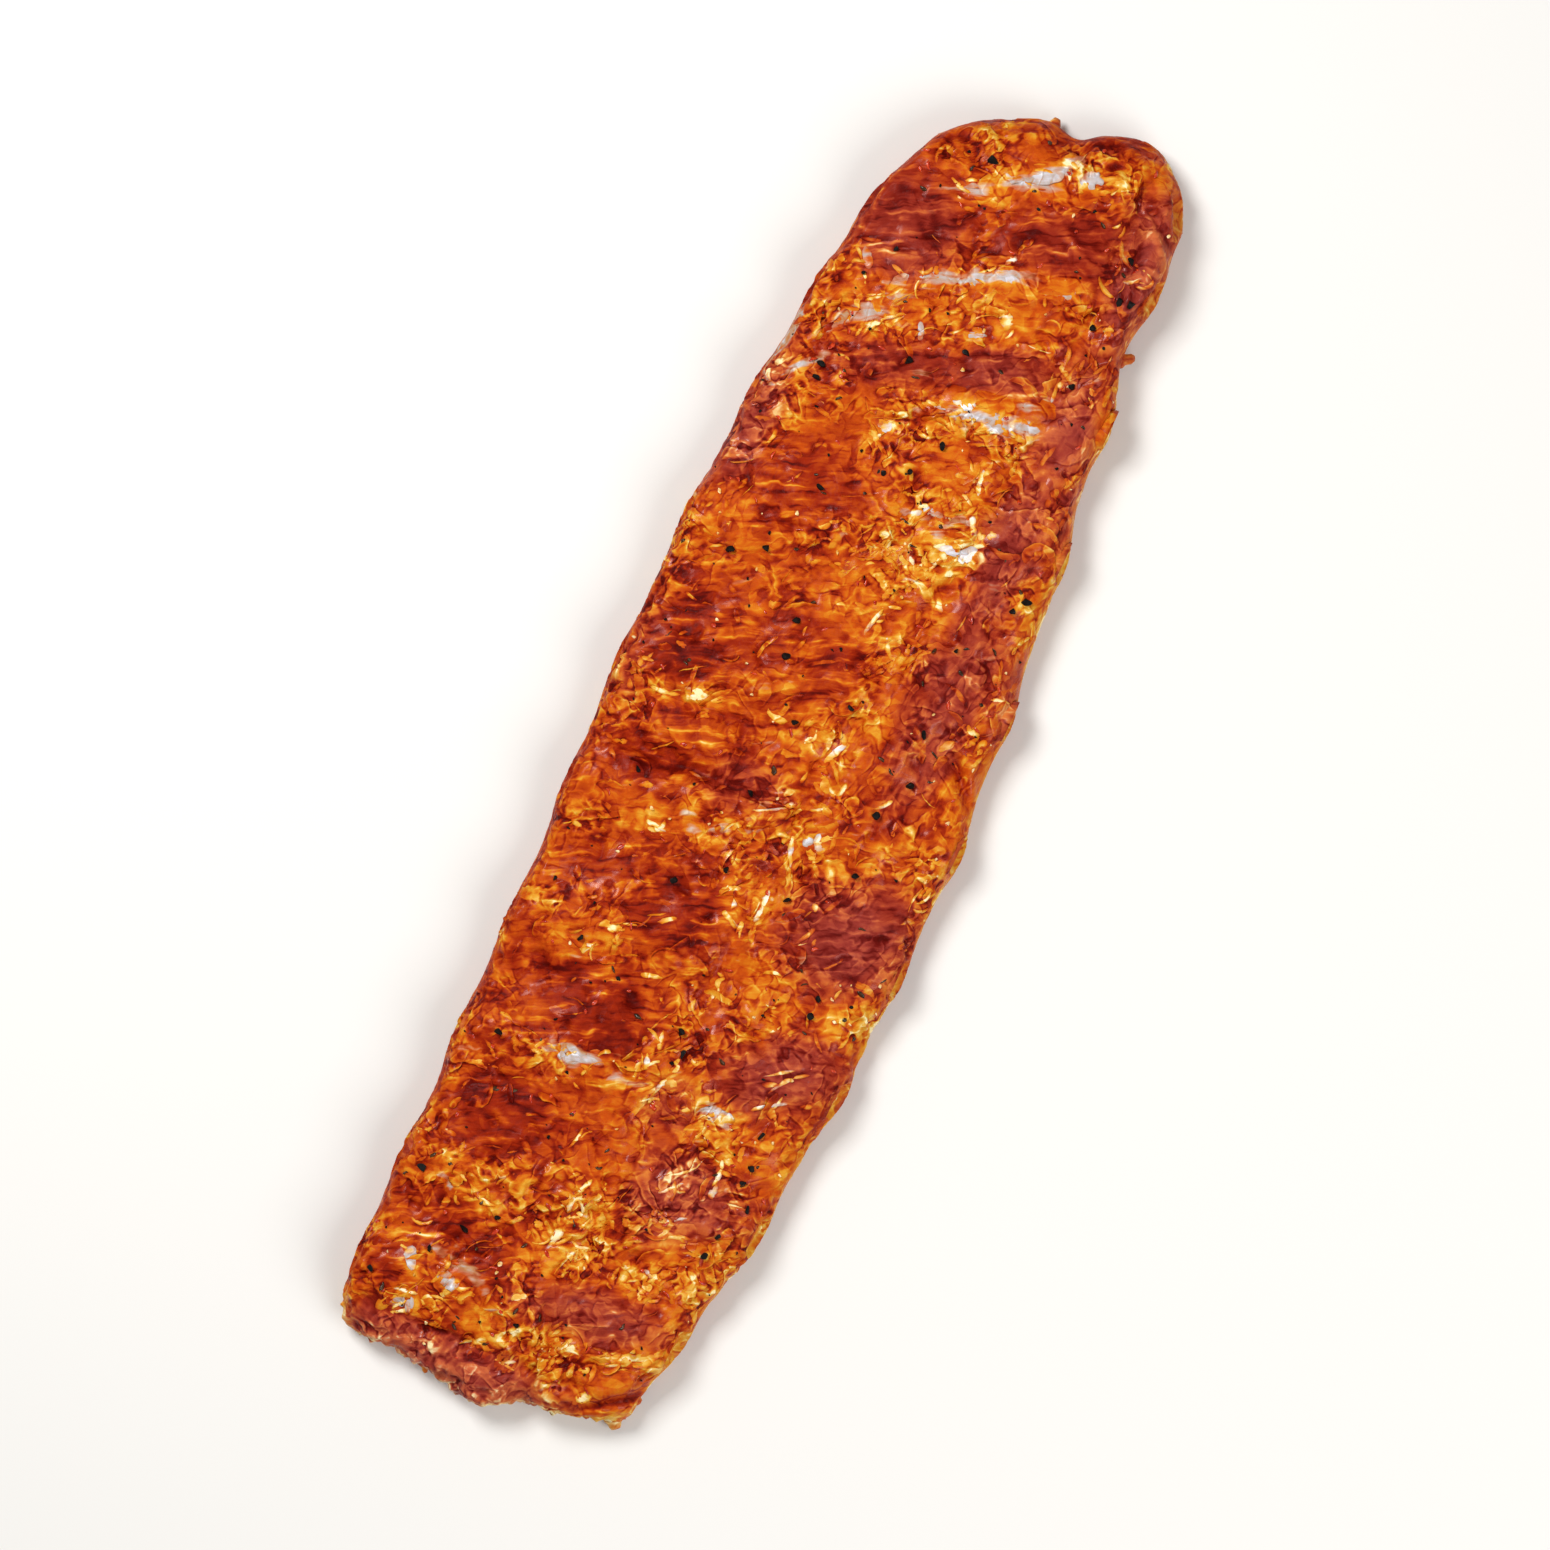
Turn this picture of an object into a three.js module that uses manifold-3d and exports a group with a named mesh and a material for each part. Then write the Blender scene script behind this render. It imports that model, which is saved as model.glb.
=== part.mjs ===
// A marinated rack of pork ribs, bone side up: one slab of meat with ten rib bones through it.
// Millimetres. X runs across the rack, Y along it and Z up, and the rack lies on Z = 0.
import * as THREE from "three";
import { ImprovedNoise } from "three/addons/math/ImprovedNoise.js";
import { mergeVertices } from "three/addons/utils/BufferGeometryUtils.js";
import Module from "manifold-3d";

const wasm = await Module();
wasm.setup();

// The outline, seen from above: two long edges from the thick end to the narrow one, and the two ends from
// left to right.
const LEFT_EDGE = [
  [-43.5, -172], [-45.5, -150], [-45.5, -120], [-46.3, -90], [-46.8, -60], [-48, -25], [-49.3, 10],
  [-49.3, 40], [-48.5, 65], [-46.5, 90], [-44.2, 112], [-41, 134], [-37, 149], [-32.5, 160],
];
const RIGHT_EDGE = [
  [33.5, -168], [36.5, -152], [39, -138], [42.5, -124], [44.3, -108], [46, -90], [48.3, -65], [48.6, -40],
  [49, -10], [47.2, 18], [45.2, 42], [42.5, 68], [38.8, 92], [36.5, 116], [33.5, 130], [34.2, 150],
  [32.5, 163],
];
const THICK_END = [
  [-43.5, -172], [-38, -176], [-28, -176.5], [-14, -177.8], [-3, -180], [8, -175], [20, -172.8],
  [33.5, -168],
];
const NARROW_END = [
  [-32.5, 160], [-26, 166.3], [-18, 170.8], [-9, 174.4], [-1, 173.2], [5, 177], [14, 180], [22, 177.5],
  [28.5, 171.5], [32.5, 163],
];

// Rib bones, narrow end first: the left and right ends of each centreline.
const RIBS = [
  { left: [-38.5, 139], right: [27.5, 166] },
  { left: [-44.5, 112], right: [33.5, 144] },
  { left: [-47.5, 82], right: [39, 110] },
  { left: [-49.5, 46], right: [42.5, 75] },
  { left: [-50, 5], right: [47.5, 33] },
  { left: [-48.5, -28], right: [49.5, -3] },
  { left: [-47.5, -64], right: [49, -38] },
  { left: [-47, -97], right: [47.5, -72] },
  { left: [-46.5, -130], right: [43.5, -112] },
  { left: [-45.5, -159], right: [37, -146] },
];
const RIB_BOW = 2.5; // how far a rib's middle curves towards the narrow end
const BONE_WIDTH = 11;
const BONE_DEPTH = 7.6;
const BONE_FLARE = 0.16; // a bone is this share wider at its left end
const BONE_COVER = 1.7; // meat over a bone
const BONE_PROUD = 0.25; // how far a bare bone stands out of the meat
const BONE_INSET = 0.6; // how far a cut end sits inside the edge
const BONE_GAP = 0.35; // between a bone and its channel
const CHANNEL_OVERRUN = 8; // how far a channel is cut past the bone's ends
// Where a bone shows through: its rib, counted from the narrow end, and the stretch along X.
const BARE_SPANS = [
  { rib: 0, from: -19, to: 12 },
  { rib: 1, from: -21, to: 17 },
  { rib: 2, from: -4, to: 24 },
  { rib: 3, from: 4, to: 21 },
  { rib: 5, from: -22, to: -14 },
  { rib: 7, from: -20, to: -12 },
];
const BARE_FADE = 5; // over this length a bone comes out of the meat

// The slab.
const THICKNESS = 15.4;
const CAMBER = 2; // how much lower the slab is 50 mm from its middle line
const RIDGE_HEIGHT = 2.6; // of the meat over a rib
const RIDGE_REACH = 9.5;
const FLAP_RIDGE_SHARE = 0.45; // on the flap a ridge keeps this share of its height
const EDGE_SHARE = 0.45; // the slab is widest at this share of its height
const ROUND = { left: 4.5, right: 10, thickEnd: 10, narrowEnd: 10 }; // how far in each edge is rounded
const UNDER_RINGS = [{ inset: 0.4, share: 0.55 }, { inset: 1.8, share: 0.16 }, { inset: 4, share: 0 }];
const SWELL = { left: 1.5, right: 1.8, reach: 8 }; // each rib's end swells the long edge

// The seam between the ribs and the flap of belly meat beside them, from the thick end to the narrow one.
const SEAM = [[6, -180], [5.5, -95], [9, -20], [13, 20], [19, 60], [23, 100], [22, 145], [26, 180]];
const SEAM_DEPTH = 1.7;
const SEAM_WIDTH = 2.8;
const FLAP_RISE = 1.4; // the flap rolls up beside the seam
const FLAP_SPAN = 11;

// Muscles that stand out: centre, half length, half width, turn in degrees and height.
const MUSCLES = [
  { at: [-21.5, -3.2], half: [15, 6.5], turn: 6, rise: 1.5 },
  { at: [6, 145], half: [20, 6], turn: 12, rise: 1.2 },
  { at: [7, 110.5], half: [14, 4.5], turn: 14, rise: 1.1 },
  { at: [33, -33], half: [17, 10], turn: 28, rise: 1.5 },
  { at: [33, -73], half: [14, 7.5], turn: 30, rise: 1.4 },
  { at: [-19.5, -77], half: [13, 8], turn: 16, rise: 1 },
  { at: [-24, -110], half: [16, 8], turn: 12, rise: 1 },
  { at: [28, 150], half: [6, 20], turn: 8, rise: 2 },
  { at: [20, -145], half: [17, 5], turn: 10, rise: 1 },
];

// Folds where the meat is creased: start, end, depth and half width.
const FOLDS = [
  { from: [45, 10], to: [38, 18], depth: 2.2, width: 1.8 },
  { from: [-40, -13], to: [8, -11], depth: 1.6, width: 1.6 },
  { from: [21, 168], to: [26, 140], depth: 1.8, width: 1.8 },
  { from: [36, 129], to: [25, 121], depth: 1.8, width: 2 },
  { from: [-37, -168], to: [20, -166], depth: 1.3, width: 2.2 },
  { from: [22, -169.5], to: [34, -161], depth: 2.6, width: 1.7 },
  { from: [25, 163.5], to: [32, 158], depth: 2, width: 1.5 },
];

const CRAGS = [{ pitch: 15, height: 0.7 }, { pitch: 8.5, height: 0.55 }]; // unevenness all over the top

// Tatters at the edges: foot, direction in degrees from +X, length, radius of the foot and height above the
// surface the rack lies on.
const TATTERS = [
  { foot: [-20, -175.5], turn: -46, length: 4.6, radius: 1.2, height: 4 },
  { foot: [-3.5, -176], turn: -80, length: 3.8, radius: 2.2, height: 4.5 },
  { foot: [4, -173.5], turn: -85, length: 3.2, radius: 1.4, height: 4 },
  { foot: [30, -168], turn: -68, length: 4.4, radius: 2.6, height: 3.5 },
  { foot: [32.5, -163], turn: 5, length: 2.8, radius: 2.2, height: 4 },
  { foot: [32.5, 127], turn: 30, length: 4.8, radius: 1.8, height: 6 },
  { foot: [-7, 172.5], turn: 80, length: 3.8, radius: 2, height: 6 },
];

// Cracked pepper: the least and the most radius, and how far a grain keeps clear of bare bone.
const PEPPER = { count: 54, least: 1.1, most: 1.9, sink: 0.35, margin: 8, seed: 11 };

const ACROSS = 25; // cells of the top across the rack
const ALONG = 84; // and along it
const BONE_SIDES = 10;
const BONE_STEPS = 9;

const MEAT_COLOUR = new THREE.Color("#b84e1d");
const BONE_COLOUR = new THREE.Color("#e3cfc0");

const curve = (points) => new THREE.SplineCurve(points.map(([x, y]) => new THREE.Vector2(x, y)));
const curves = {
  left: curve(LEFT_EDGE),
  right: curve(RIGHT_EDGE),
  low: curve(THICK_END),
  high: curve(NARROW_END),
  seam: curve(SEAM),
};

const bump = (d, reach) => Math.exp(-((d / reach) ** 2));
const ease = (t) => {
  const s = THREE.MathUtils.clamp(t, 0, 1);
  return s * s * (3 - 2 * s);
};

// A point of a long edge, with the swelling at each rib's end.
function edgePoint(side, t) {
  const point = curves[side].getPointAt(t);
  const outward = side === "left" ? -1 : 1;
  for (const rib of RIBS) point.x += outward * SWELL[side] * bump(point.y - rib[side][1], SWELL.reach);
  return point;
}

// The plan as a patch between its four edges: u runs across from 0 to 1 and v along.
const corners = {
  lowLeft: curves.low.getPoint(0),
  lowRight: curves.low.getPoint(1),
  highLeft: curves.high.getPoint(0),
  highRight: curves.high.getPoint(1),
};
function planPoint(u, v) {
  const point = new THREE.Vector2();
  point.addScaledVector(edgePoint("left", v), 1 - u).addScaledVector(edgePoint("right", v), u);
  point.addScaledVector(curves.low.getPointAt(u), 1 - v).addScaledVector(curves.high.getPointAt(u), v);
  point.addScaledVector(corners.lowLeft, -(1 - u) * (1 - v));
  point.addScaledVector(corners.lowRight, -u * (1 - v));
  point.addScaledVector(corners.highLeft, -(1 - u) * v);
  return point.addScaledVector(corners.highRight, -u * v);
}

const widthAt = (v) => edgePoint("left", v).distanceTo(edgePoint("right", v));
const LENGTH = curves.left.getLength();

// A rib's centreline, by the share s of its length from the left.
function ribPoint(rib, s) {
  const x = THREE.MathUtils.lerp(rib.left[0], rib.right[0], s);
  return [x, THREE.MathUtils.lerp(rib.left[1], rib.right[1], s) + RIB_BOW * Math.sin(Math.PI * s)];
}
const ribShare = (rib, x) => THREE.MathUtils.clamp((x - rib.left[0]) / (rib.right[0] - rib.left[0]), 0, 1);

const seamX = (() => {
  const samples = curves.seam.getSpacedPoints(80);
  return (y) => {
    const i = samples.findIndex((p) => p.y >= y);
    if (i < 1) return samples[i < 0 ? samples.length - 1 : 0].x;
    const [a, b] = [samples[i - 1], samples[i]];
    return THREE.MathUtils.mapLinear(y, a.y, b.y, a.x, b.x);
  };
})();

function foldDistance(fold, x, y) {
  const start = new THREE.Vector3(...fold.from, 0);
  const line = new THREE.Line3(start, new THREE.Vector3(...fold.to, 0));
  const here = new THREE.Vector3(x, y, 0);
  return line.closestPointToPoint(here, true, new THREE.Vector3()).distanceTo(here);
}

function muscleRise(muscle, x, y) {
  const turn = THREE.MathUtils.degToRad(-muscle.turn);
  const local = new THREE.Vector2(x - muscle.at[0], y - muscle.at[1]);
  local.rotateAround(new THREE.Vector2(), turn);
  const reach = Math.hypot(local.x / muscle.half[0], local.y / muscle.half[1]);
  return muscle.rise * (1 - ease(reach * reach * 0.8));
}

const crags = new ImprovedNoise();

// The top of the slab away from its edges.
function topHeight(x, y) {
  const fromSeam = x - seamX(y);
  const ribStrength = THREE.MathUtils.lerp(1, FLAP_RIDGE_SHARE, ease(fromSeam / FLAP_SPAN));
  let z = THICKNESS - CAMBER * (x / 50) ** 2;
  for (const rib of RIBS) {
    const [, middle] = ribPoint(rib, ribShare(rib, x));
    z += RIDGE_HEIGHT * ribStrength * bump(y - middle, RIDGE_REACH);
  }
  z -= SEAM_DEPTH * bump(fromSeam, SEAM_WIDTH);
  z += FLAP_RISE * bump(fromSeam - FLAP_SPAN, FLAP_SPAN * 0.7);
  for (const muscle of MUSCLES) z += muscleRise(muscle, x, y);
  for (const fold of FOLDS) z -= fold.depth * bump(foldDistance(fold, x, y), fold.width);
  CRAGS.forEach(({ pitch, height }, layer) => {
    z += height * crags.noise(x / pitch, y / pitch, 10 * layer + 0.5);
  });
  return z;
}

const roundOff = (distance, radius) => Math.sqrt(1 - (1 - Math.min(distance / radius, 1)) ** 2);

// The height of the top at a point of the plan, rounded down to the widest line at the edges.
function topPoint(u, v) {
  const { x, y } = planPoint(u, v);
  const full = topHeight(x, y);
  const width = widthAt(v);
  const rise =
    roundOff(u * width, ROUND.left) * roundOff((1 - u) * width, ROUND.right) *
    roundOff(v * LENGTH, ROUND.thickEnd) * roundOff((1 - v) * LENGTH, ROUND.narrowEnd);
  return new THREE.Vector3(x, y, full * (EDGE_SHARE + (1 - EDGE_SHARE) * rise));
}

// Cell lines that crowd towards both ends, where the slab is rounded.
const crowded = (i, count, crowding) =>
  THREE.MathUtils.lerp(i / count, 0.5 - 0.5 * Math.cos((Math.PI * i) / count), crowding);
const acrossAt = (i) => crowded(i, ACROSS, 0.45);
const alongAt = (j) => crowded(j, ALONG, 0.12);

// The rim of the top, anticlockwise from above, as cell numbers.
function rimCells() {
  const rim = [];
  for (let i = 0; i < ACROSS; i++) rim.push([i, 0]);
  for (let j = 0; j < ALONG; j++) rim.push([ACROSS, j]);
  for (let i = ACROSS; i > 0; i--) rim.push([i, ALONG]);
  for (let j = ALONG; j > 0; j--) rim.push([0, j]);
  return rim;
}

function geometryOf(points, triangles) {
  const geometry = new THREE.BufferGeometry().setFromPoints(points);
  geometry.setIndex(triangles.flat());
  return geometry;
}

// The slab without its bones: a grid on top, rings round the edge and a flat underside.
function slabGeometry() {
  const points = [];
  const triangles = [];
  const topIndex = (i, j) => j * (ACROSS + 1) + i;
  for (let j = 0; j <= ALONG; j++)
    for (let i = 0; i <= ACROSS; i++) points.push(topPoint(acrossAt(i), alongAt(j)));
  for (let j = 0; j < ALONG; j++)
    for (let i = 0; i < ACROSS; i++) {
      const [a, b] = [topIndex(i, j), topIndex(i + 1, j)];
      const [c, d] = [topIndex(i + 1, j + 1), topIndex(i, j + 1)];
      triangles.push([a, b, c], [a, c, d]);
    }

  const rim = rimCells();
  let above = rim.map(([i, j]) => topIndex(i, j));
  for (const { inset, share } of UNDER_RINGS) {
    const ring = rim.map(([i, j]) => {
      const v = alongAt(j);
      const [du, dv] = [inset / widthAt(v), inset / LENGTH];
      const { x, y } = planPoint(du + acrossAt(i) * (1 - 2 * du), dv + v * (1 - 2 * dv));
      points.push(new THREE.Vector3(x, y, share * points[topIndex(i, j)].z));
      return points.length - 1;
    });
    ring.forEach((a, k) => {
      const next = (k + 1) % ring.length;
      triangles.push([a, ring[next], above[next]], [a, above[next], above[k]]);
    });
    above = ring;
  }
  const foot = above.map((k) => new THREE.Vector2(points[k].x, points[k].y));
  for (const [a, b, c] of THREE.ShapeUtils.triangulateShape(foot, [])) {
    triangles.push([above[a], above[c], above[b]]);
  }
  return geometryOf(points, triangles);
}

// How much of the bare state a rib has at x: 1 where the bone shows and 0 under the meat.
function bareness(ribIndex, x) {
  let most = 0;
  for (const { rib, from, to } of BARE_SPANS) {
    if (rib !== ribIndex) continue;
    most = Math.max(most, ease((x - from) / BARE_FADE + 0.5) * ease((to - x) / BARE_FADE + 0.5));
  }
  return most;
}

// The middle and half size of a bone's upright oval section, at the share s of the rib's length.
function boneSection(rib, ribIndex, s) {
  const [x, y] = ribPoint(rib, s);
  const flare = 1 + BONE_FLARE * (1 - s) ** 2;
  const half = [(BONE_WIDTH * flare) / 2, (BONE_DEPTH * flare) / 2];
  const cover = THREE.MathUtils.lerp(BONE_COVER, -BONE_PROUD, bareness(ribIndex, x));
  return { at: [x, y, topHeight(x, y) - cover - half[1]], half };
}

// A bone from its left end to its right one. Its channel is wider by a gap and runs out through both edges.
function boneGeometry(rib, ribIndex, channel = false) {
  const gap = channel ? BONE_GAP : 0;
  const inset = BONE_INSET / (rib.right[0] - rib.left[0]);
  const sections = [];
  for (let k = 0; k <= BONE_STEPS; k++) {
    sections.push(boneSection(rib, ribIndex, THREE.MathUtils.lerp(inset, 1 - inset, k / BONE_STEPS)));
  }
  if (channel) {
    const beyond = ({ at: [x, y, z], half }, distance) => ({ at: [x + distance, y, z], half });
    sections.unshift(beyond(sections[0], -CHANNEL_OVERRUN));
    sections.push(beyond(sections.at(-1), CHANNEL_OVERRUN));
  }
  const points = sections.flatMap(({ at, half }) =>
    Array.from({ length: BONE_SIDES }, (_, n) => {
      const angle = (2 * Math.PI * (n + 0.5)) / BONE_SIDES;
      const y = at[1] + (half[0] + gap) * Math.cos(angle);
      const z = at[2] + (half[1] + gap) * Math.sin(angle);
      return new THREE.Vector3(at[0], y, z);
    }),
  );
  const triangles = [];
  const last = (sections.length - 1) * BONE_SIDES;
  for (let first = 0; first < last; first += BONE_SIDES)
    for (let n = 0; n < BONE_SIDES; n++) {
      const [a, b] = [first + n, first + ((n + 1) % BONE_SIDES)];
      triangles.push([a, b, b + BONE_SIDES], [a, b + BONE_SIDES, a + BONE_SIDES]);
    }
  for (let n = 1; n < BONE_SIDES - 1; n++) {
    triangles.push([0, n + 1, n], [last, last + n, last + n + 1]);
  }
  return geometryOf(points, triangles);
}

// Cracked pepper: lumps with a few flat sides, pressed into the top.
function pepperGeometries() {
  const random = (() => {
    let state = PEPPER.seed;
    return () => ((state = (state * 16807) % 2147483647) / 2147483647);
  })();
  const lumps = [];
  while (lumps.length < PEPPER.count) {
    const [u, v] = [0.08 + 0.84 * random(), 0.04 + 0.92 * ((lumps.length + random()) / PEPPER.count)];
    const spot = topPoint(u, v);
    const radius = THREE.MathUtils.lerp(PEPPER.least, PEPPER.most, random());
    const turn = new THREE.Euler(random() * Math.PI, random() * Math.PI, random() * Math.PI);
    const nearBare = BARE_SPANS.some(({ rib, from, to }) => {
      const [, middle] = ribPoint(RIBS[rib], ribShare(RIBS[rib], spot.x));
      const beside = Math.max(from - spot.x, spot.x - to, Math.abs(spot.y - middle));
      return beside < PEPPER.margin;
    });
    if (nearBare) continue;
    const lump = new THREE.OctahedronGeometry(radius).scale(1, 0.8, 0.7);
    lump.applyMatrix4(new THREE.Matrix4().makeRotationFromEuler(turn));
    lumps.push(lump.translate(spot.x, spot.y, spot.z + radius * PEPPER.sink));
  }
  return lumps;
}

// Pointed scraps that hang from the edges.
function tatterGeometries() {
  return TATTERS.map(({ foot, turn, length, radius, height }) => {
    const cone = new THREE.ConeGeometry(radius, length, 6).scale(1, 1, 0.6).rotateZ(-Math.PI / 2);
    cone.translate(length / 2 - radius, 0, 0).rotateY(0.12).rotateZ(THREE.MathUtils.degToRad(turn));
    return cone.translate(foot[0], foot[1], height);
  });
}

// A closed geometry as a manifold-3d solid, and back.
function solidOf(geometry) {
  const bare = geometry.clone();
  bare.deleteAttribute("normal");
  bare.deleteAttribute("uv");
  const merged = mergeVertices(bare, 1e-4);
  const { array } = merged.getAttribute("position");
  const triVerts = new Uint32Array(merged.index.array);
  return new wasm.Manifold(new wasm.Mesh({ numProp: 3, vertProperties: array, triVerts }));
}
function geometryFrom(solid) {
  const { vertProperties, triVerts } = solid.getMesh();
  const geometry = new THREE.BufferGeometry();
  geometry.setAttribute("position", new THREE.BufferAttribute(vertProperties, 3));
  return geometry.setIndex(new THREE.BufferAttribute(triVerts, 1));
}

function meatGeometry() {
  let meat = solidOf(slabGeometry());
  for (const lump of [...pepperGeometries(), ...tatterGeometries()]) meat = meat.add(solidOf(lump));
  RIBS.forEach((rib, index) => {
    meat = meat.subtract(solidOf(boneGeometry(rib, index, true)));
  });
  return geometryFrom(meat);
}

function namedMesh(name, geometry, material) {
  const mesh = new THREE.Mesh(geometry, material);
  mesh.name = name;
  return mesh;
}

const meatMaterial = new THREE.MeshStandardMaterial({ color: MEAT_COLOUR, roughness: 0.35, metalness: 0 });
const boneMaterial = new THREE.MeshStandardMaterial({ color: BONE_COLOUR, roughness: 0.5, metalness: 0 });

const rack = new THREE.Group();
rack.add(namedMesh("meat", meatGeometry(), meatMaterial));
RIBS.forEach((rib, index) => {
  const name = `rib_${String(index + 1).padStart(2, "0")}`;
  rack.add(namedMesh(name, boneGeometry(rib, index), boneMaterial));
});

// The part's origin is the middle of the rack as seen from above, on the surface it lies on.
const box = new THREE.Box3().setFromObject(rack, true);
const middle = box.getCenter(new THREE.Vector3());
rack.position.set(-middle.x, -middle.y, -box.min.z);

export default rack;
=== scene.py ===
"""The looks of a marinated rack of pork ribs, bone side up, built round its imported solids.

Everything is in metres, in the frame of the solids: X across the rack, Y along it towards the narrow end and
Z up. The slab of meat is one closed mesh. The ribs run through it, and shreds of fat, meat fibres, cracked
pepper and spices lie on it.
"""

import math
from itertools import product
from typing import NamedTuple

import bmesh
import bpy
import numpy as np
from bpy.props import FloatProperty, FloatVectorProperty, IntProperty, PointerProperty
from bpy.types import Operator, Panel, PropertyGroup
from mathutils import Matrix, Vector
from mathutils.bvhtree import BVHTree
from mathutils.kdtree import KDTree


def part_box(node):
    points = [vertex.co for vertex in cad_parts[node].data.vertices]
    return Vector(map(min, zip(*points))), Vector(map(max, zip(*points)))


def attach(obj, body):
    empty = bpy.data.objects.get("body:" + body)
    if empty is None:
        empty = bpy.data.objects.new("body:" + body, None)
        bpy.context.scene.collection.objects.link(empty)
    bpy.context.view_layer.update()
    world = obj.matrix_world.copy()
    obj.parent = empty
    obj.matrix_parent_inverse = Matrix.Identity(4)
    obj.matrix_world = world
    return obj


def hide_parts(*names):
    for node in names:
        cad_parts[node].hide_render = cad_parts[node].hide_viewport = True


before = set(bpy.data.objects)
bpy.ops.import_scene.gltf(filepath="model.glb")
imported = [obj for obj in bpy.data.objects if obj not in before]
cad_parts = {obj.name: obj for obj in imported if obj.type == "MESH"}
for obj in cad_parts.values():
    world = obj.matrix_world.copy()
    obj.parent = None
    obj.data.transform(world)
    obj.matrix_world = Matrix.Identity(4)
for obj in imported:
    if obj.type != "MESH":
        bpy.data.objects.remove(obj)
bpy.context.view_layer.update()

bl_info = {
    "name": "Rack of ribs",
    "version": (1, 0, 0),
    "blender": (4, 5, 0),
    "location": "View3D > Sidebar > Ribs",
    "description": "Builds a marinated rack of pork ribs round its solids",
    "category": "Add Mesh",
}

MM = 0.001

# The rack's form, the same as its solids'. Outlines run from the thick end to the narrow one, and from left to right.
HALF_WIDTH = 50 * MM
LEFT_EDGE = MM * np.array([
    [-43.5, -172], [-45.5, -150], [-45.5, -120], [-46.3, -90], [-46.8, -60], [-48, -25], [-49.3, 10],
    [-49.3, 40], [-48.5, 65], [-46.5, 90], [-44.2, 112], [-41, 134], [-37, 149], [-32.5, 160],
])
RIGHT_EDGE = MM * np.array([
    [33.5, -168], [36.5, -152], [39, -138], [42.5, -124], [44.3, -108], [46, -90], [48.3, -65], [48.6, -40],
    [49, -10], [47.2, 18], [45.2, 42], [42.5, 68], [38.8, 92], [36.5, 116], [33.5, 130], [34.2, 150], [32.5, 163],
])
THICK_END = MM * np.array([
    [-43.5, -172], [-38, -176], [-28, -176.5], [-14, -177.8], [-3, -180], [8, -175], [20, -172.8], [33.5, -168],
])
NARROW_END = MM * np.array([
    [-32.5, 160], [-26, 166.3], [-18, 170.8], [-9, 174.4], [-1, 173.2], [5, 177], [14, 180], [22, 177.5],
    [28.5, 171.5], [32.5, 163],
])
SEAM = MM * np.array([[6, -180], [5.5, -95], [9, -20], [13, 20], [19, 60], [23, 100], [22, 145], [26, 180]])

# The left and right end of each rib, narrow end first.
RIBS = MM * np.array([
    [[-38.5, 139], [27.5, 166]], [[-44.5, 112], [33.5, 144]], [[-47.5, 82], [39, 110]], [[-49.5, 46], [42.5, 75]],
    [[-50, 5], [47.5, 33]], [[-48.5, -28], [49.5, -3]], [[-47.5, -64], [49, -38]], [[-47, -97], [47.5, -72]],
    [[-46.5, -130], [43.5, -112]], [[-45.5, -159], [37, -146]],
])
RIB_BOW = 2.5 * MM
# How much wider a bone is at its left end, how deep it lies, how far it stands out where it is bare, and how far its
# cut ends lie inside the slab's edges.
BONE_FLARE = 0.16
BONE_COVER = 1.7 * MM
BONE_PROUD = 0.25 * MM
BONE_INSET = 0.6 * MM
# The sides of a bone in the solids.
CAD_BONE_SIDES = 10
# Where a bone shows: its rib, and the stretch along X in millimetres.
BARE_SPANS = [(0, -19, 12), (1, -21, 17), (2, -4, 24), (3, 4, 21), (5, -22, -14), (7, -20, -12)]
BARE_FADE = 5

# The slab's edges: their height as a share of the slab's, how wide they are rounded, and how far the foot draws in.
EDGE_SHARE = 0.45
ROUND = {"left": 4.5 * MM, "right": 10 * MM, "ends": 10 * MM}
FOOT_INSET = 4 * MM
# How far a long edge swells at a rib's end, and how far from it.
SWELL = {"left": 1.5 * MM, "right": 1.8 * MM}
SWELL_REACH = 8 * MM
# The ridges over the ribs, which are lower on the flap, and the seam between ribs and flap.
RIDGE_REACH = 9.5 * MM
FLAP_RIDGE_SHARE = 0.45
SEAM_WIDTH = 2.8 * MM
FLAP_SPAN = 11 * MM

# Muscles that stand out, in millimetres: centre, half length, half width, turn in degrees and height.
MUSCLES = [
    (-21.5, -3.2, 15, 6.5, 6, 1.5), (6, 145, 20, 6, 12, 1.2), (7, 110.5, 14, 4.5, 14, 1.1),
    (33, -33, 17, 10, 28, 1.5), (33, -73, 14, 7.5, 30, 1.4), (-19.5, -77, 13, 8, 16, 1),
    (-24, -110, 16, 8, 12, 1), (28, 150, 6, 20, 8, 2), (20, -145, 17, 5, 10, 1),
]
# Creases, in millimetres: start, end, depth and half width.
FOLDS = [
    (45, 10, 38, 18, 2.2, 1.8), (-40, -13, 8, -11, 1.6, 1.6), (21, 168, 26, 140, 1.8, 1.8),
    (36, 129, 25, 121, 1.8, 2), (-37, -168, 20, -166, 1.3, 2.2), (22, -169.5, 34, -161, 2.6, 1.7),
    (25, 163.5, 32, 158, 2, 1.5),
]
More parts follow.
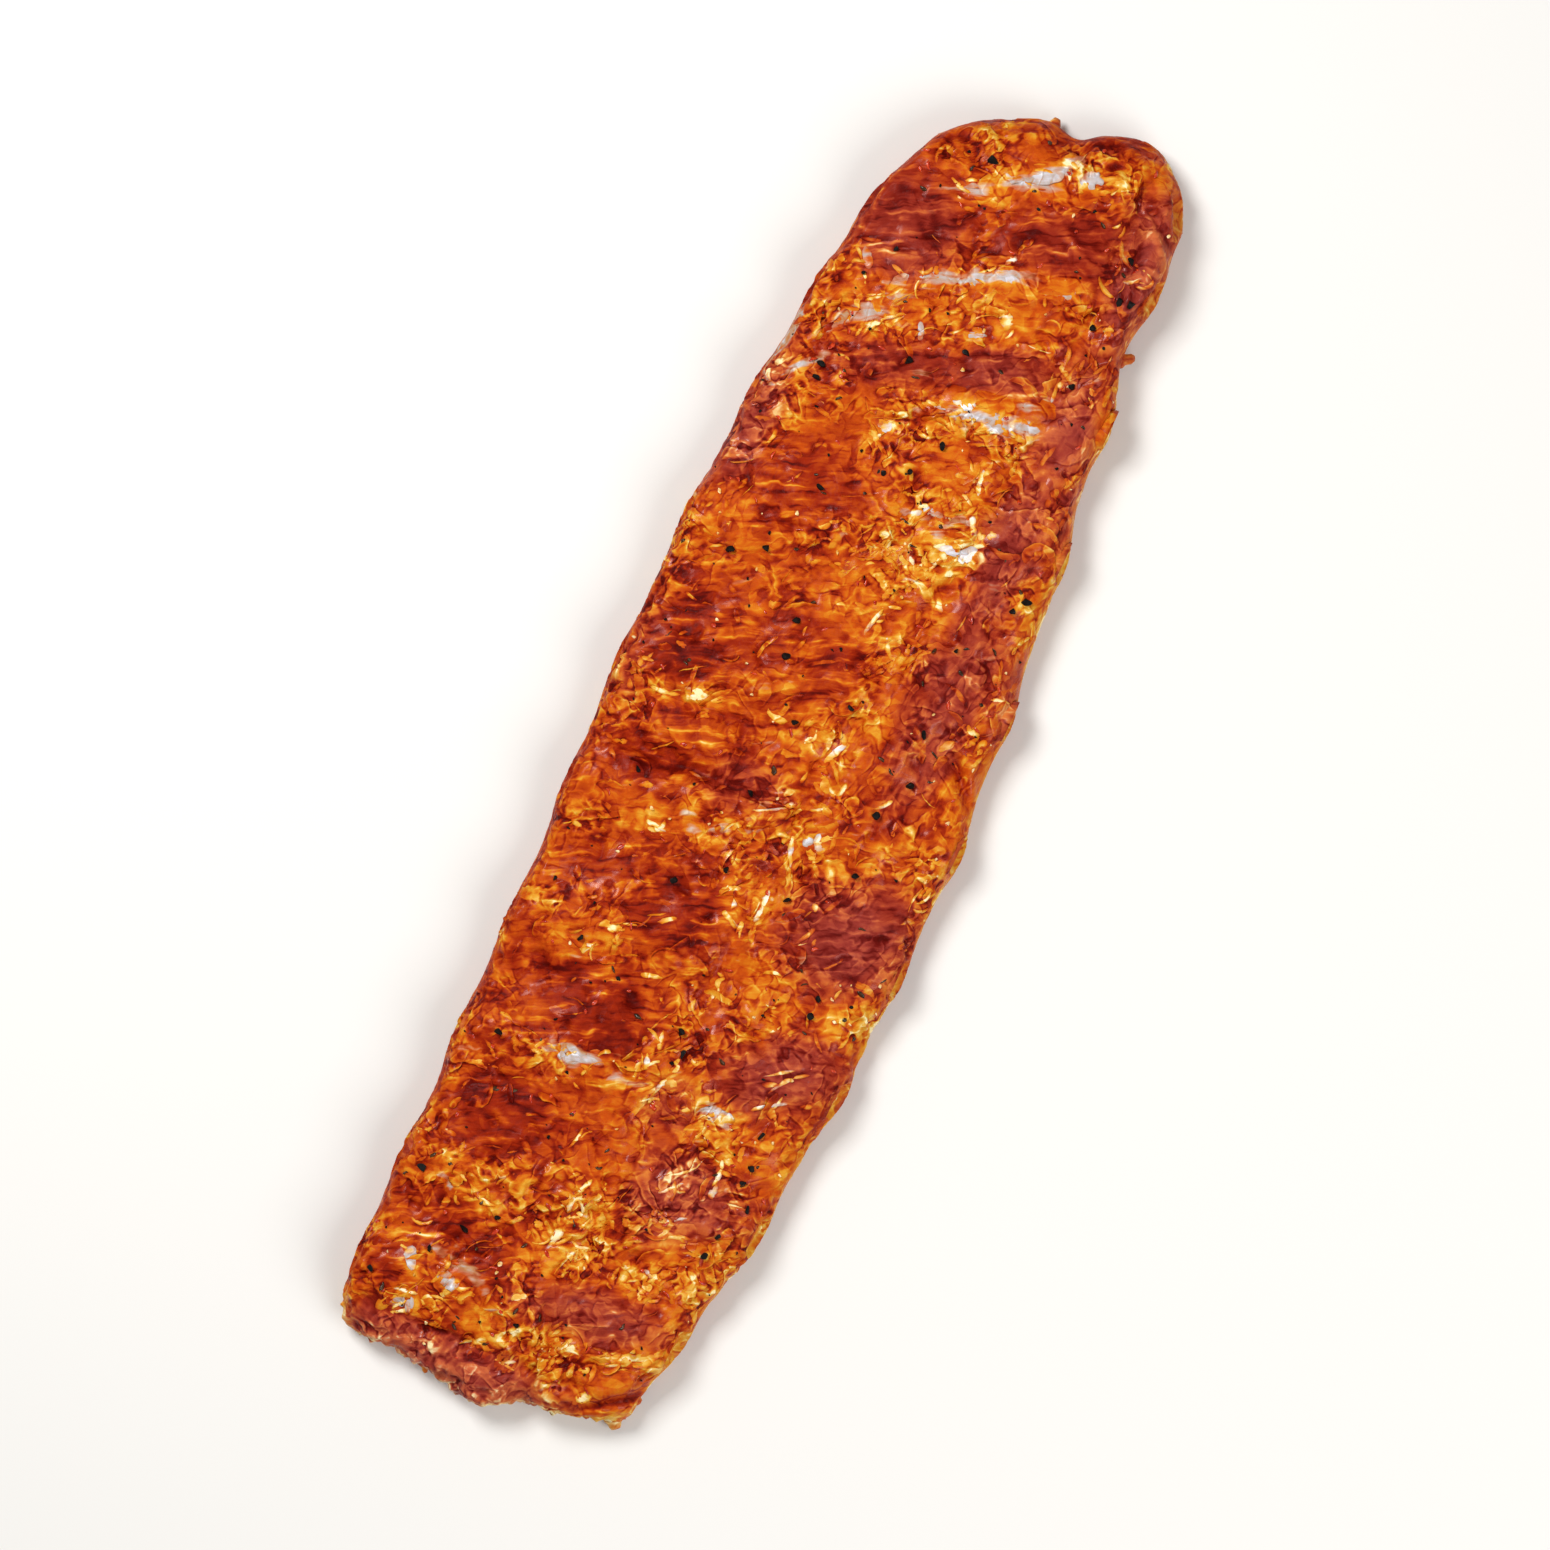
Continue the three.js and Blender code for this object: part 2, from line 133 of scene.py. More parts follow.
# Creases too fine for the solids, in the same way. They dip the meat a little and are drawn as dark lines of painted
# shade.
LINES = [
    (-38, -5, -19, 4, 1.4, 1.1), (-13.5, 3, -10.5, -8, 1.4, 1.1), (-33, -17, -23, -12, 1.5, 1),
    (25, 163.5, 31.5, 158.5, 1, 0.8), (20.8, 171.5, 23.4, 166, 1.1, 0.9), (22, -169.5, 34, -162, 0.8, 0.8),
    (-45, 60, -38, 58, 1.4, 1.1), (22, 22, 32, 32, 1.2, 1), (-4, -8, 9, -3, 1, 0.9), (6, 3, 18, 9, 1, 0.9),
]
# Tatters at the edges, in millimetres: foot, direction in degrees, length, radius and height above the surface.
TATTERS = [
    (-20, -175.5, -46, 4.6, 1.2, 4), (-3.5, -176, -80, 3.8, 2.2, 4.5), (4, -173.5, -85, 3.2, 1.4, 4),
    (30, -168, -68, 4.4, 2.6, 3.5), (32.5, -163, 5, 2.8, 2.2, 4), (32.5, 127, 30, 4.8, 1.8, 6),
    (-7, 172.5, 80, 3.8, 2, 6),
]

# Patches of the surface, narrow end first, in millimetres: centre, length, width, turn in degrees and strength.
# Dark lean meat.
LEAN = [
    (6, 177, 22, 8, 8, 1.1), (11, 147, 30, 17, 12, 1.6), (-29, 135, 24, 24, 0, 1.6),
    (8, 110, 28, 13, 12, 1.15), (16, 108, 12, 10, 0, 1.1), (-19, 101, 30, 12, 28, 1.5),
    (-27, 64, 28, 22, 8, 1.1), (27, 61, 9, 20, 0, 1.1), (17, 47, 9, 9, 0, 0.6), (-15, 47, 10, 8, 0, 0.6),
    (30, 32, 13, 15, 0, 0.9), (-15, 27, 16, 16, 0, 0.8), (-31, 27, 12, 12, 0, 0.7), (1, 25, 16, 20, 0, 1.2),
    (-34, 18, 22, 20, 10, 1.9), (-25, -3, 16, 9, 0, 1), (29, -4, 14, 9, 30, 0.9), (30, -5, 10, 8, 0, 0.4),
    (-8, -10, 20, 14, 0, 1), (-31, -14, 20, 12, 8, 0.8), (-12, -18, 12, 8, 0, 0.6), (9, -27, 7, 11, 0, 0.7),
    (-43, -30, 10, 16, 0, 0.4), (36, -33, 30, 19, 30, 1.2), (-17, -37, 36, 14, 15, 0.8),
    (-37, -43, 16, 12, 0, 0.9), (-9, -46, 26, 18, 20, 1.6), (-1, -57, 14, 10, 0, 0.7),
    (12, -67, 12, 8, 0, 0.4), (30, -74, 28, 13, 35, 0.9), (-15, -76, 28, 20, 15, 1.9),
    (-36, -86, 18, 20, 0, 0.6), (-4, -103, 9, 8, 0, 0.5), (13, -106, 10, 20, 0, 0.8),
    (-26, -109, 28, 21, 10, 1.4), (-2, -114, 9, 9, 0, 0.6), (21, -115, 15, 14, 0, 0.5),
    (24, -125, 8, 6, 0, 0.6), (-26, -132, 10, 8, 0, 0.6), (-27, -141, 27, 13, 12, 1.2),
    (15, -147, 36, 11, 12, 0.9), (-16, -149, 16, 9, 0, 1.1), (-33, -157, 13, 10, 0, 1.7),
]
# Fat under marinade.
FAT = [
    (20, 169.5, 15, 12, 0, 1.4), (-3, 160, 34, 8, 30, 0.6), (28, 155, 12, 26, 0, 0.75),
    (-13, 148, 14, 9, 15, 0.7), (36.5, 142, 4, 26, 0, 0.4), (18, 129, 10, 9, 0, 0.5),
    (5, 126, 36, 15, 12, 1.1), (-42, 123, 6, 10, 0, 0.5), (28, 122, 10, 14, 0, 0.6),
    (27, 117, 10, 14, 0, 0.9), (-29, 113, 20, 12, 30, 1), (37, 111, 9, 20, 0, 0.9), (9, 99, 32, 9, 12, 0.65),
    (33, 90, 8, 10, 0, 0.6), (-14, 87, 14, 10, 0, 0.9), (8, 86, 34, 15, 10, 0.8), (44, 78, 7, 12, 0, 0.8),
    (-5, 75, 16, 12, 0, 0.7), (42, 62, 10, 28, 0, 1.25), (9, 61, 24, 13, 25, 1.9), (2, 54, 26, 14, 5, 1.2),
    (-15, 54, 10, 9, 0, 0.7), (-43, 48, 12, 16, 0, 0.8), (-10, 43, 18, 11, 0, 0.7), (-38, 41, 12, 12, 0, 0.9),
    (42, 38, 8, 12, 0, 0.8), (14, 35, 9, 10, 0, 1), (42, 26, 10, 12, 0, 0.9), (13, 18, 14, 10, 0, 1),
    (41, 10, 10, 12, 0, 1.3), (-45, 10, 9, 12, 0, 1), (1, 9, 24, 16, 0, 1), (-31, 3.5, 18, 6, 10, 1.1),
    (-20, -6, 20, 9, 6, 0.5), (26, -13, 20, 8, 20, 0.7), (46, -14, 7, 30, 0, 1.1), (14, -15, 12, 10, 0, 0.8),
    (-4.5, -21, 10, 5, 15, 2.4), (-14, -23, 8, 5, -20, 2), (43, -23, 10, 12, 0, 0.8),
    (45, -25, 9, 14, 0, 0.6), (-5, -26, 14, 9, 0, 1.2), (-29, -26, 22, 10, 0, 0.8), (-5, -31, 10, 8, 0, 1.1),
    (3, -37, 12, 13, 0, 0.9), (42, -52, 14, 15, 0, 1.2), (17, -54, 16, 10, 0, 1.3),
    (-27, -60, 22, 11, 8, 0.9), (20, -61, 10, 9, 0, 1), (-1, -66, 14, 20, 0, 1), (7, -82, 18, 14, 0, 0.7),
    (20, -86, 10, 9, 0, 1), (24, -92, 18, 15, 0, 1.1), (-14, -92, 26, 10, 5, 1.1), (40, -93, 12, 16, 0, 0.9),
    (-12, -104, 10, 14, 0, 0.7), (-5, -105, 11, 10, 0, 0.6), (-40, -118, 8, 14, 0, 0.9),
    (31, -126, 20, 18, 0, 1.1), (-24, -127, 20, 9, 0, 0.8), (1, -128, 14, 24, 0, 1.5),
    (17, -134, 22, 11, 0, 1.4), (-12, -137, 13, 9, 0, 1.2), (12, -137, 9, 14, 0, 0.6),
    (-42, -152, 9, 16, 0, 0.8), (30, -153, 14, 11, 0, 1.1), (-25, -156, 18, 10, 0, 0.9),
    (-5, -158, 20, 12, 0, 1.1), (7, -160, 18, 12, 0, 0.9), (4, -162, 13, 11, 0, 1.1),
    (-17, -164, 16, 8, 0, 1), (-27, -166, 16, 9, 0, 1), (16, -167, 26, 12, 0, 0.8),
    (30, -168, 10, 6, 55, 1.3), (-42, -169, 8, 10, 0, 0.8), (-18, -172, 36, 9, 0, 0.8),
    (-2, -173, 16, 9, 0, 0.8),
]
# Meat with little marinade on it, which looks purple.
PURPLE = [
    (29, 150, 14, 46, 5, 1.1), (10, 147, 30, 15, 12, 0.4), (-29, 134, 24, 22, 0, 0.65),
    (8, 110, 28, 12, 12, 0.8), (29, 108, 12, 36, 0, 1), (-19, 101, 28, 10, 28, 0.5), (40, 90, 10, 30, 0, 0.9),
    (-44, 75, 9, 36, 0, 0.9), (28, 72, 13, 50, 0, 0.9), (44, 38, 10, 20, 0, 0.9), (31, 30, 14, 50, 0, 0.8),
    (-45, 10, 8, 20, 0, 0.6), (-8, -10, 18, 12, 0, 0.5), (35, -33, 30, 24, 30, 1), (32, -73, 30, 18, 35, 0.9),
    (12, -90, 14, 12, 0, 0.6), (24, -112, 26, 22, 0, 0.8), (15, -147, 36, 12, 12, 0.75),
    (-13, -174, 60, 14, 0, 1.2),
]
# Faint silverskin.
SILVER = [
    (-7.5, 157, 30, 6, 32, 0.7), (-9, 128.5, 32, 5, 28, 0.68), (-27, 120, 8, 10, 60, 0.6),
    (-31, 107, 15, 5, 45, 0.7), (9, 99, 30, 4.4, 13, 0.75), (-46, 98, 2.8, 15, 0, 1),
    (-39, 91, 9, 2.6, 42, 1), (-44.5, 87, 4.5, 2.4, -40, 0.9), (10, 71, 22, 4, 12, 0.6),
    (-4.5, -21, 10, 5, 15, 0.5), (-14, -23, 8, 5, -20, 0.45), (22, -88, 9, 4, -5, 0.6),
    (-17, -90, 17, 4.6, 10, 0.8), (-33, -133, 6, 2.6, -40, 0.8), (-20, -150, 16, 4, -20, 0.6),
]
# Slivers of bare silverskin and pale strokes of bare fat, in millimetres: centre, length, width and turn in degrees.
SLIVERS = [
    (-14.5, 153.5, 15, 2.4, 33), (-4, 160, 11, 3.3, 35), (7.5, 164.3, 6, 3.1, 25), (-2.5, 132.5, 9, 2.7, 35),
    (-10.5, 127.5, 6, 2.2, 30), (-19, 125.5, 8, 1.4, 30), (12, 135.5, 9, 3, 15), (-25, 119.5, 8, 3.3, 75),
    (0.5, 98.5, 11, 2.2, 25), (14, 100.5, 17, 2.7, 10), (-2, 117, 5, 1.2, 25), (-35.5, 123, 6, 2.2, -55),
    (-15.5, 112, 5, 1.6, -65), (-13.5, 86.5, 4, 2.2, 15), (2, 69, 6, 1.2, 45), (7.5, 72, 7, 1.5, 5),
    (14, 65, 7, 1.7, 10), (19, 66, 6, 2.8, 50), (13.5, -16, 3, 1.8, 25), (22, -88, 9, 3.1, -5),
    (-15.5, -89.5, 12, 1.9, 15), (-32.5, -153, 6, 2.5, -50), (-22.5, -153.5, 8, 2.7, -25),
    (-30, -164.5, 7, 3.3, 25),
]
STROKES = [
    (22.5, 152, 9, 1.5, -55), (27.5, 145.5, 4, 1.1, 30), (-2.5, 137, 4, 1.4, 55), (-24.5, 110.5, 12, 1.4, 50),
    (21.5, 112.5, 5, 1.1, -80), (2.5, 123.5, 5, 2.5, -45), (10, 83.5, 4, 1.3, 15), (14.5, 84, 6, 1.4, -80),
    (13, 78.5, 4, 1.4, -30), (17.5, 72.5, 6, 1.6, -60), (23, 73, 3, 1.9, 35), (12.5, 60, 5, 1.2, 80),
    (7.5, 58, 4, 1.1, -45), (18, 52, 4, 1.7, -50), (4.5, 40.5, 8, 1.8, 80), (7, 45.5, 7, 1, 30),
    (-35.5, 3, 7, 1.2, 5), (-26, 6, 9, 2.5, 10), (11.5, 36, 6, 1.3, -55), (13.5, 34.5, 4, 1.3, -80),
    (2.5, 6.5, 5, 1.4, 75), (10, 7, 7, 1.7, 65), (12.5, 5.5, 4, 1.3, -65), (13.5, -2, 3, 1.1, -35),
    (15.5, -1, 4, 1.3, 70), (0.5, -13, 12, 0.7, 25), (12.5, -7.5, 5, 0.9, 35), (26.5, 0, 5, 1, 45),
    (10.5, -20, 7, 1.6, -70), (16.5, -15.5, 5, 2.1, -60), (-23, -28.5, 5, 1.4, -5), (1.5, -35, 4, 2.1, 25),
    (3, -38, 3, 1.4, -85), (4, -42, 5, 1.5, -25), (10, -35.5, 8, 1.6, -90), (-10.5, -49, 5, 1.4, 35),
    (-20, -54.5, 7, 0.7, 20), (-25, -63, 5, 1.8, 50), (1, -77, 5, 1.3, -75), (0, -83, 4, 1.5, -75),
    (6.5, -87, 11, 1.3, 70), (8.5, -59.5, 5, 0.8, -65), (23, -40, 5, 0.8, 40), (30.5, -72.5, 9, 0.8, 35),
    (34.5, -73, 11, 1, 50), (32.5, -80.5, 8, 1.1, 35), (29, -105.5, 4, 1.7, -90), (28, -100, 8, 1, -75),
    (20, -104, 10, 0.7, 40), (18.5, -110, 7, 1, 45), (21, -117.5, 11, 0.9, 30), (25, -120.5, 8, 1.1, 25),
    (-21.5, -132, 5, 1.5, -5), (-1.5, -123, 5, 2.1, 85), (-2, -133.5, 6, 2.1, 80), (3, -137, 8, 1, 70),
    (24, -131.5, 5, 1.8, -25), (-31, -161, 7, 1.1, 10), (-29, -166, 6, 1.3, 35), (-6.5, -165, 6, 2.5, -5),
    (0.5, -167, 4, 1.3, 45), (11.5, -156.5, 5, 1.9, 60), (30, -152, 8, 3.3, 25), (21.5, -166.5, 4, 2.3, 50),
]

# Tone runs from 0 in the darkest lean to 1 in the palest fat: where it starts, how far a patch of fat or lean moves
# it, how much paler it is round a stroke, how much painted shade darkens it for each metre of a crease's depth, and
# the palest meat.
MIDDLE_TONE = 0.412
FAT_TONE = 0.08
LEAN_TONE = 0.086
GLOW_TONE = 0.15
CREASE_SHADE = 90
PALEST_MEAT = 0.7

# Which way the grain runs, in degrees from X: over the ribs, in the lower right muscles and along the flap. It strays
# to either side over the ribs.
RIB_GRAIN, MUSCLE_GRAIN, FLAP_GRAIN = 17, 34, 84
GRAIN_STRAY = 50
# Which way the finest fibres run over the ribs.
FIBRE_TURN = 24


# Shapes ---------------------------------------------------------------------------------------------------------

SHUFFLE = np.random.default_rng(5).permutation(256)
SLOPES = np.random.default_rng(6).normal(size=(256, 3))
SLOPES /= np.linalg.norm(SLOPES, axis=1, keepdims=True)
# How far apart the noises of two seeds lie, and what brings them to about -1 to 1.
SEED_STEP, NOISE_GAIN = 31.7, 1.6
# The steps between two points of a curve.
CURVE_STEPS = 50
# How far the middle of a scale strays from its cell's, in cells.
SCALE_STRAY = 0.45


def noise(points, pitch, seed):
    """Smooth noise from about -1 to 1, with lumps a pitch apart. The pitch may differ by axis. Each use has a seed of
    its own, so that no two look alike."""
    scaled = points / np.asarray(pitch) + SEED_STEP * seed
    cell = np.floor(scaled).astype(int)
    part = scaled - cell
    blend = part**3 * (part * (6 * part - 15) + 10)
    total = np.zeros(len(points))
    for corner in product((0, 1), repeat=3):
        x, y, z = ((cell + corner) % 256).T
        slope = SLOPES[SHUFFLE[(SHUFFLE[(SHUFFLE[x] + y) % 256] + z) % 256]]
        share = np.prod(np.where(corner, blend, 1 - blend), axis=1)
        total += share * np.einsum("ij,ij->i", slope, part - corner)
    return NOISE_GAIN * total


def bump(distance, reach):
    """A soft bump: 1 at no distance, and almost nothing beyond twice the reach."""
    return np.exp(-((distance / reach) ** 2))


def ease(t):
    """A smooth step from 0 to 1."""
    t = np.clip(t, 0, 1)
    return t * t * (3 - 2 * t)


def turned(x, y, degrees):
    """x and y in axes that are turned by this angle."""
    c, s = math.cos(math.radians(degrees)), math.sin(math.radians(degrees))
    return c * x + s * y, c * y - s * x


def along_curve(points, shares):
    """Places on a smooth curve through the points, at these shares of its length."""
    last = len(points) - 1
    t = np.linspace(0, last, CURVE_STEPS * last + 1)
    i = np.minimum(t.astype(int), last - 1)
    w = (t - i)[:, None]
    before, start = points[np.maximum(i - 1, 0)], points[i]
    end, after = points[i + 1], points[np.minimum(i + 2, last)]
    leave, arrive = (end - before) / 2, (after - start) / 2
    line = (2 * start - 2 * end + leave + arrive) * w**3
    line += (3 * end - 3 * start - 2 * leave - arrive) * w**2 + leave * w + start
    run = np.concatenate([[0], np.cumsum(np.linalg.norm(np.diff(line, axis=0), axis=1))])
    return np.stack([np.interp(shares * run[-1], run, line[:, axis]) for axis in (0, 1)], axis=-1)


def rib_middle(rib, x):
    """A rib's centreline: y at each x."""
    (x0, y0), (x1, y1) = RIBS[rib]
    s = np.clip((x - x0) / (x1 - x0), 0, 1)
    return y0 + (y1 - y0) * s + RIB_BOW * np.sin(math.pi * s)


def long_edge(side, v):
    """Places on a long edge, which swells at each rib's end."""
    points = along_curve(LEFT_EDGE if side == "left" else RIGHT_EDGE, v)
    outward, end = (-1, 0) if side == "left" else (1, 1)
    for rib in RIBS:
        points[..., 0] += outward * SWELL[side] * bump(points[..., 1] - rib[end][1], SWELL_REACH)
    return points


def plan(u, v):
    """Places in the rack's plan, as a patch between its four edges: u across and v along, from 0 to 1."""
    left, right = long_edge("left", v), long_edge("right", v)
    low, high = along_curve(THICK_END, u), along_curve(NARROW_END, u)
    u, v = u[..., None], v[..., None]
    corners = (1 - u) * (1 - v) * THICK_END[0] + u * (1 - v) * THICK_END[-1]
    corners = corners + (1 - u) * v * NARROW_END[0] + u * v * NARROW_END[-1]
    return (1 - u) * left + u * right + (1 - v) * low + v * high - corners


def plan_size(v):
    """The width at v, and the length."""
    width = np.linalg.norm(long_edge("left", v) - long_edge("right", v), axis=-1)
    return width, np.linalg.norm(np.diff(LEFT_EDGE, axis=0), axis=1).sum()


def from_seam(x, y):
    """How far right of the seam each place is."""
    seam = along_curve(SEAM, np.linspace(0, 1, 80))
    return x - np.interp(y, seam[:, 1], seam[:, 0])


def slab_height(form, x, y):
    """The height of the slab's top away from its edges."""
    beside = from_seam(x, y)
    strength = 1 - (1 - FLAP_RIDGE_SHARE) * ease(beside / FLAP_SPAN)
    z = form.thickness - form.camber * (x / HALF_WIDTH) ** 2
    for rib in range(len(RIBS)):
        z += form.ridge_height * strength * bump(y - rib_middle(rib, x), RIDGE_REACH)
    z -= form.seam_depth * bump(beside, SEAM_WIDTH)
    z += form.flap_rise * bump(beside - FLAP_SPAN, 0.7 * FLAP_SPAN)
    for cx, cy, half_length, half_width, turn, rise in MUSCLES:
        a, b = turned(x - cx * MM, y - cy * MM, turn)
        z += rise * MM * (1 - ease(0.8 * ((a / half_length) ** 2 + (b / half_width) ** 2) / MM**2))
    return z - crease_depth(x, y, FOLDS)


def crease_depth(x, y, listed):
    """How deep the listed creases are at each place."""
    depth = np.zeros_like(x)
    for x0, y0, x1, y1, deepest, width in listed:
        start, way = MM * np.array([x0, y0]), MM * np.array([x1 - x0, y1 - y0])
        share = np.clip(((x - start[0]) * way[0] + (y - start[1]) * way[1]) / (way @ way), 0, 1)
        off = np.hypot(x - start[0] - share * way[0], y - start[1] - share * way[1])
        depth += deepest * MM * bump(off, width * MM)
    return depth


def bareness(rib, x):
    """How bare a rib's bone is at x: 1 where it shows and 0 under the meat."""
    bare = np.zeros_like(x)
    for index, start, end in BARE_SPANS:
        if index == rib:
            rise, fall = (x / MM - start) / BARE_FADE, (end - x / MM) / BARE_FADE
            bare = np.maximum(bare, ease(rise + 0.5) * ease(fall + 0.5))
    return bare


def bone_sections(form, rib, steps):
    """The middles and half sizes of a bone's upright oval sections, from its left end to its right one."""
    (x0, _), (x1, _) = RIBS[rib]
    inset = BONE_INSET / (x1 - x0)
    s = np.linspace(inset, 1 - inset, steps + 1)
    x = x0 + (x1 - x0) * s
    y = rib_middle(rib, x)
    flare = 1 + BONE_FLARE * (1 - s) ** 2
    half = np.stack([form.bone_width * flare / 2, form.bone_depth * flare / 2], axis=1)
    cover = BONE_COVER + (-BONE_PROUD - BONE_COVER) * bareness(rib, x)
    z = slab_height(form, x, y) - cover - half[:, 1]
    return np.stack([x, y, z], axis=1), half


def frame_shift(form):
    """How far the solids lie from this file's outlines, read off the lowest corner of the first rib."""
    middles, half = bone_sections(form, 0, 1)
    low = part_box("rib_01")[0]
    lowest_y = middles[0, 1] - math.cos(math.pi / CAD_BONE_SIDES) * half[0, 0]
    return np.array([low.x - middles[0, 0], low.y - lowest_y, 0])


def patches(x, y, listed):
    """How strongly each place lies in the listed patches."""
    total = np.zeros_like(x)
    for cx, cy, length, width, turn, strength in listed:
        a, b = turned(x - cx * MM, y - cy * MM, turn)
        reach = (2 * a / (length * MM)) ** 2 + (2 * b / (width * MM)) ** 2
        total = np.maximum(total, strength * np.exp(-0.6 * reach**1.6))
    return total


def grain_shares(points):
    """How far each place follows the flap's grain and the lower right muscles' grain."""
    x, y = points[:, 0], points[:, 1]
    beside, upper = from_seam(x, y), ease((y + 20 * MM) / (25 * MM))
    return ease(beside / (12 * MM)) * upper, ease(beside / (14 * MM)) * (1 - upper)


def stretched(points, turn, length, width, seed):
    """Noise drawn out along one direction."""
    a, b = turned(points[:, 0], points[:, 1], turn)
    return noise(np.stack([a, b, points[:, 2]], axis=1), (length, width, width), seed)


def strayed(points):
    """How far each place's grain has strayed to either side, from 0 to 1 for each side."""
    stray = noise(points, 15 * MM, 70)
    return ease((stray - 0.06) / 0.2), ease((-0.06 - stray) / 0.2)


def grained(points, length, width, seed):
    """Noise drawn out along the meat's grain."""
    flap, muscle = grain_shares(points)
    left, right = strayed(points)
    field = (1 - left - right) * stretched(points, RIB_GRAIN, length, width, seed)
    field += left * stretched(points, RIB_GRAIN + GRAIN_STRAY, length, width, seed + 3)
    field += right * stretched(points, RIB_GRAIN - GRAIN_STRAY, length, width, seed + 4)
    field *= 1 - flap - muscle
    field += muscle * stretched(points, MUSCLE_GRAIN, length, width, seed + 1)
    return field + flap * stretched(points, FLAP_GRAIN, length, width, seed + 2)


def swirled(points, reach, pitch, seed):
    """The points, pushed about sideways by noise."""
    push = np.stack([noise(points, pitch, seed), noise(points, pitch, seed + 1), 0 * points[:, 2]], axis=1)
    return points + reach * push


def overlaps(points, length, width, seed):
    """Folds that lie over one another along the meat's grain: how high each point stands, and its painted light, from
    painted shade in a crease to a painted highlight on a crest."""
    field = grained(points, length, width, seed)
    rise = ease((field + 0.12) / 0.3) * (1 - 0.6 * ease((field - 0.15) / 0.8))
    return rise - 0.4, bump(field - 0.2, 0.18) - bump(field + 0.12, 0.14)


def peaky(field):
    """Keeps the strong values of a field and weakens the rest."""
    return field * np.abs(field)


def scales(points, length, width, seed):
    """Flaky scales drawn out along the meat's grain: how high each point stands on its tilted scale, and a random
    number for each scale."""
    flap, muscle = grain_shares(points)
    left, right = strayed(points)
    turn = RIB_GRAIN + GRAIN_STRAY * (np.round(left) - np.round(right))
    turn = np.where(flap > 0.5, FLAP_GRAIN, np.where(muscle > 0.5, MUSCLE_GRAIN, turn))
    c, s = np.cos(np.radians(turn)), np.sin(np.radians(turn))
    a = (c * points[:, 0] + s * points[:, 1] + points[:, 2]) / length
    b = (c * points[:, 1] - s * points[:, 0] - points[:, 2]) / width
    nearest = np.full(len(points), np.inf)
    height, chance = np.zeros(len(points)), np.zeros(len(points))
    for i, j in product((-1, 0, 1), repeat=2):
        cell_a, cell_b = np.floor(a).astype(int) + i, np.floor(b).astype(int) + j
        key = SHUFFLE[(SHUFFLE[(cell_a + 7 * seed) % 256] + cell_b) % 256]
        off_a = a - cell_a - 0.5 - SCALE_STRAY * SLOPES[key, 0]
        off_b = b - cell_b - 0.5 - SCALE_STRAY * SLOPES[key, 1]
        distance = np.hypot(off_a, off_b)
        nearer = distance < nearest
        nearest = np.where(nearer, distance, nearest)
        tilt = off_a * SLOPES[key - 1, 0] + off_b * SLOPES[key - 1, 1] + 0.4 * SLOPES[key - 2, 2]
        height = np.where(nearer, tilt, height)
        chance = np.where(nearer, SLOPES[key - 3, 2], chance)
    return height, chance


def crowding(points):
    """How crowded with folds and flakes each place is, from 0 to 1. The muscles that stand out are the calmest."""
    round_muscles = [(x, y, 2.3 * length, 2.3 * width, turn, 1) for x, y, length, width, turn, _ in MUSCLES]
    calm = patches(points[:, 0], points[:, 1], round_muscles)
    flap, _ = grain_shares(points)
    return ease(0.5 + 1.4 * noise(points, 15 * MM, 15)) * (1 - 0.85 * calm) * (1 - 0.5 * flap)


def muscle_rims(points):
    """How close each place is to the line round a muscle that stands out."""
    rim = np.zeros(len(points))
    for cx, cy, half_length, half_width, turn, _ in MUSCLES:
        a, b = turned(points[:, 0] - cx * MM, points[:, 1] - cy * MM, turn)
        rim = np.maximum(rim, bump(np.hypot(a / half_length, b / half_width) / MM - 1.05, 0.13))
    return rim


def stroke_glow(points, listed=STROKES + SLIVERS):
    """How close each place is to a pale stroke."""
    wider = [(x, y, length + 3, width + 3, turn, 1) for x, y, length, width, turn in listed]
    return patches(points[:, 0], points[:, 1], wider)


def surface_marks(points):
    """What the meat is at each point: tone from dark lean (0) to pale fat (1), purple lean, silverskin and lean."""
    loose = swirled(swirled(points, 3 * MM, 14 * MM, 40), 2.6 * MM, 5 * MM, 44)
    x, y = loose[:, 0], loose[:, 1]
    lean, fat = patches(x, y, LEAN), patches(x, y, FAT)
    tone = MIDDLE_TONE + FAT_TONE * fat - LEAN_TONE * lean
    tone = tone + 0.02 * noise(loose, 9 * MM, 50) + 0.06 * noise(loose, 4 * MM, 51)
    tone += 0.12 * np.clip(fat, 0, 1) * ease((noise(loose, 6 * MM, 52) - 0.15) / 0.25)
    tone = tone + 0.02 * bump(from_seam(x, y), 6 * MM) + GLOW_TONE * stroke_glow(points)
    tone = np.minimum(tone, PALEST_MEAT)
    # Painted shade: darker along the creases and fine lines, and round the muscles that stand out.
    tone -= CREASE_SHADE * crease_depth(points[:, 0], points[:, 1], FOLDS + LINES)
    tone -= 0.1 * muscle_rims(loose) * ease(0.5 + noise(points, 6 * MM, 53))
    purple = np.clip(patches(x, y, PURPLE) - 0.3 * fat, 0, 1)
    return tone, purple, patches(x, y, SILVER), lean


# Meshes ---------------------------------------------------------------------------------------------------------

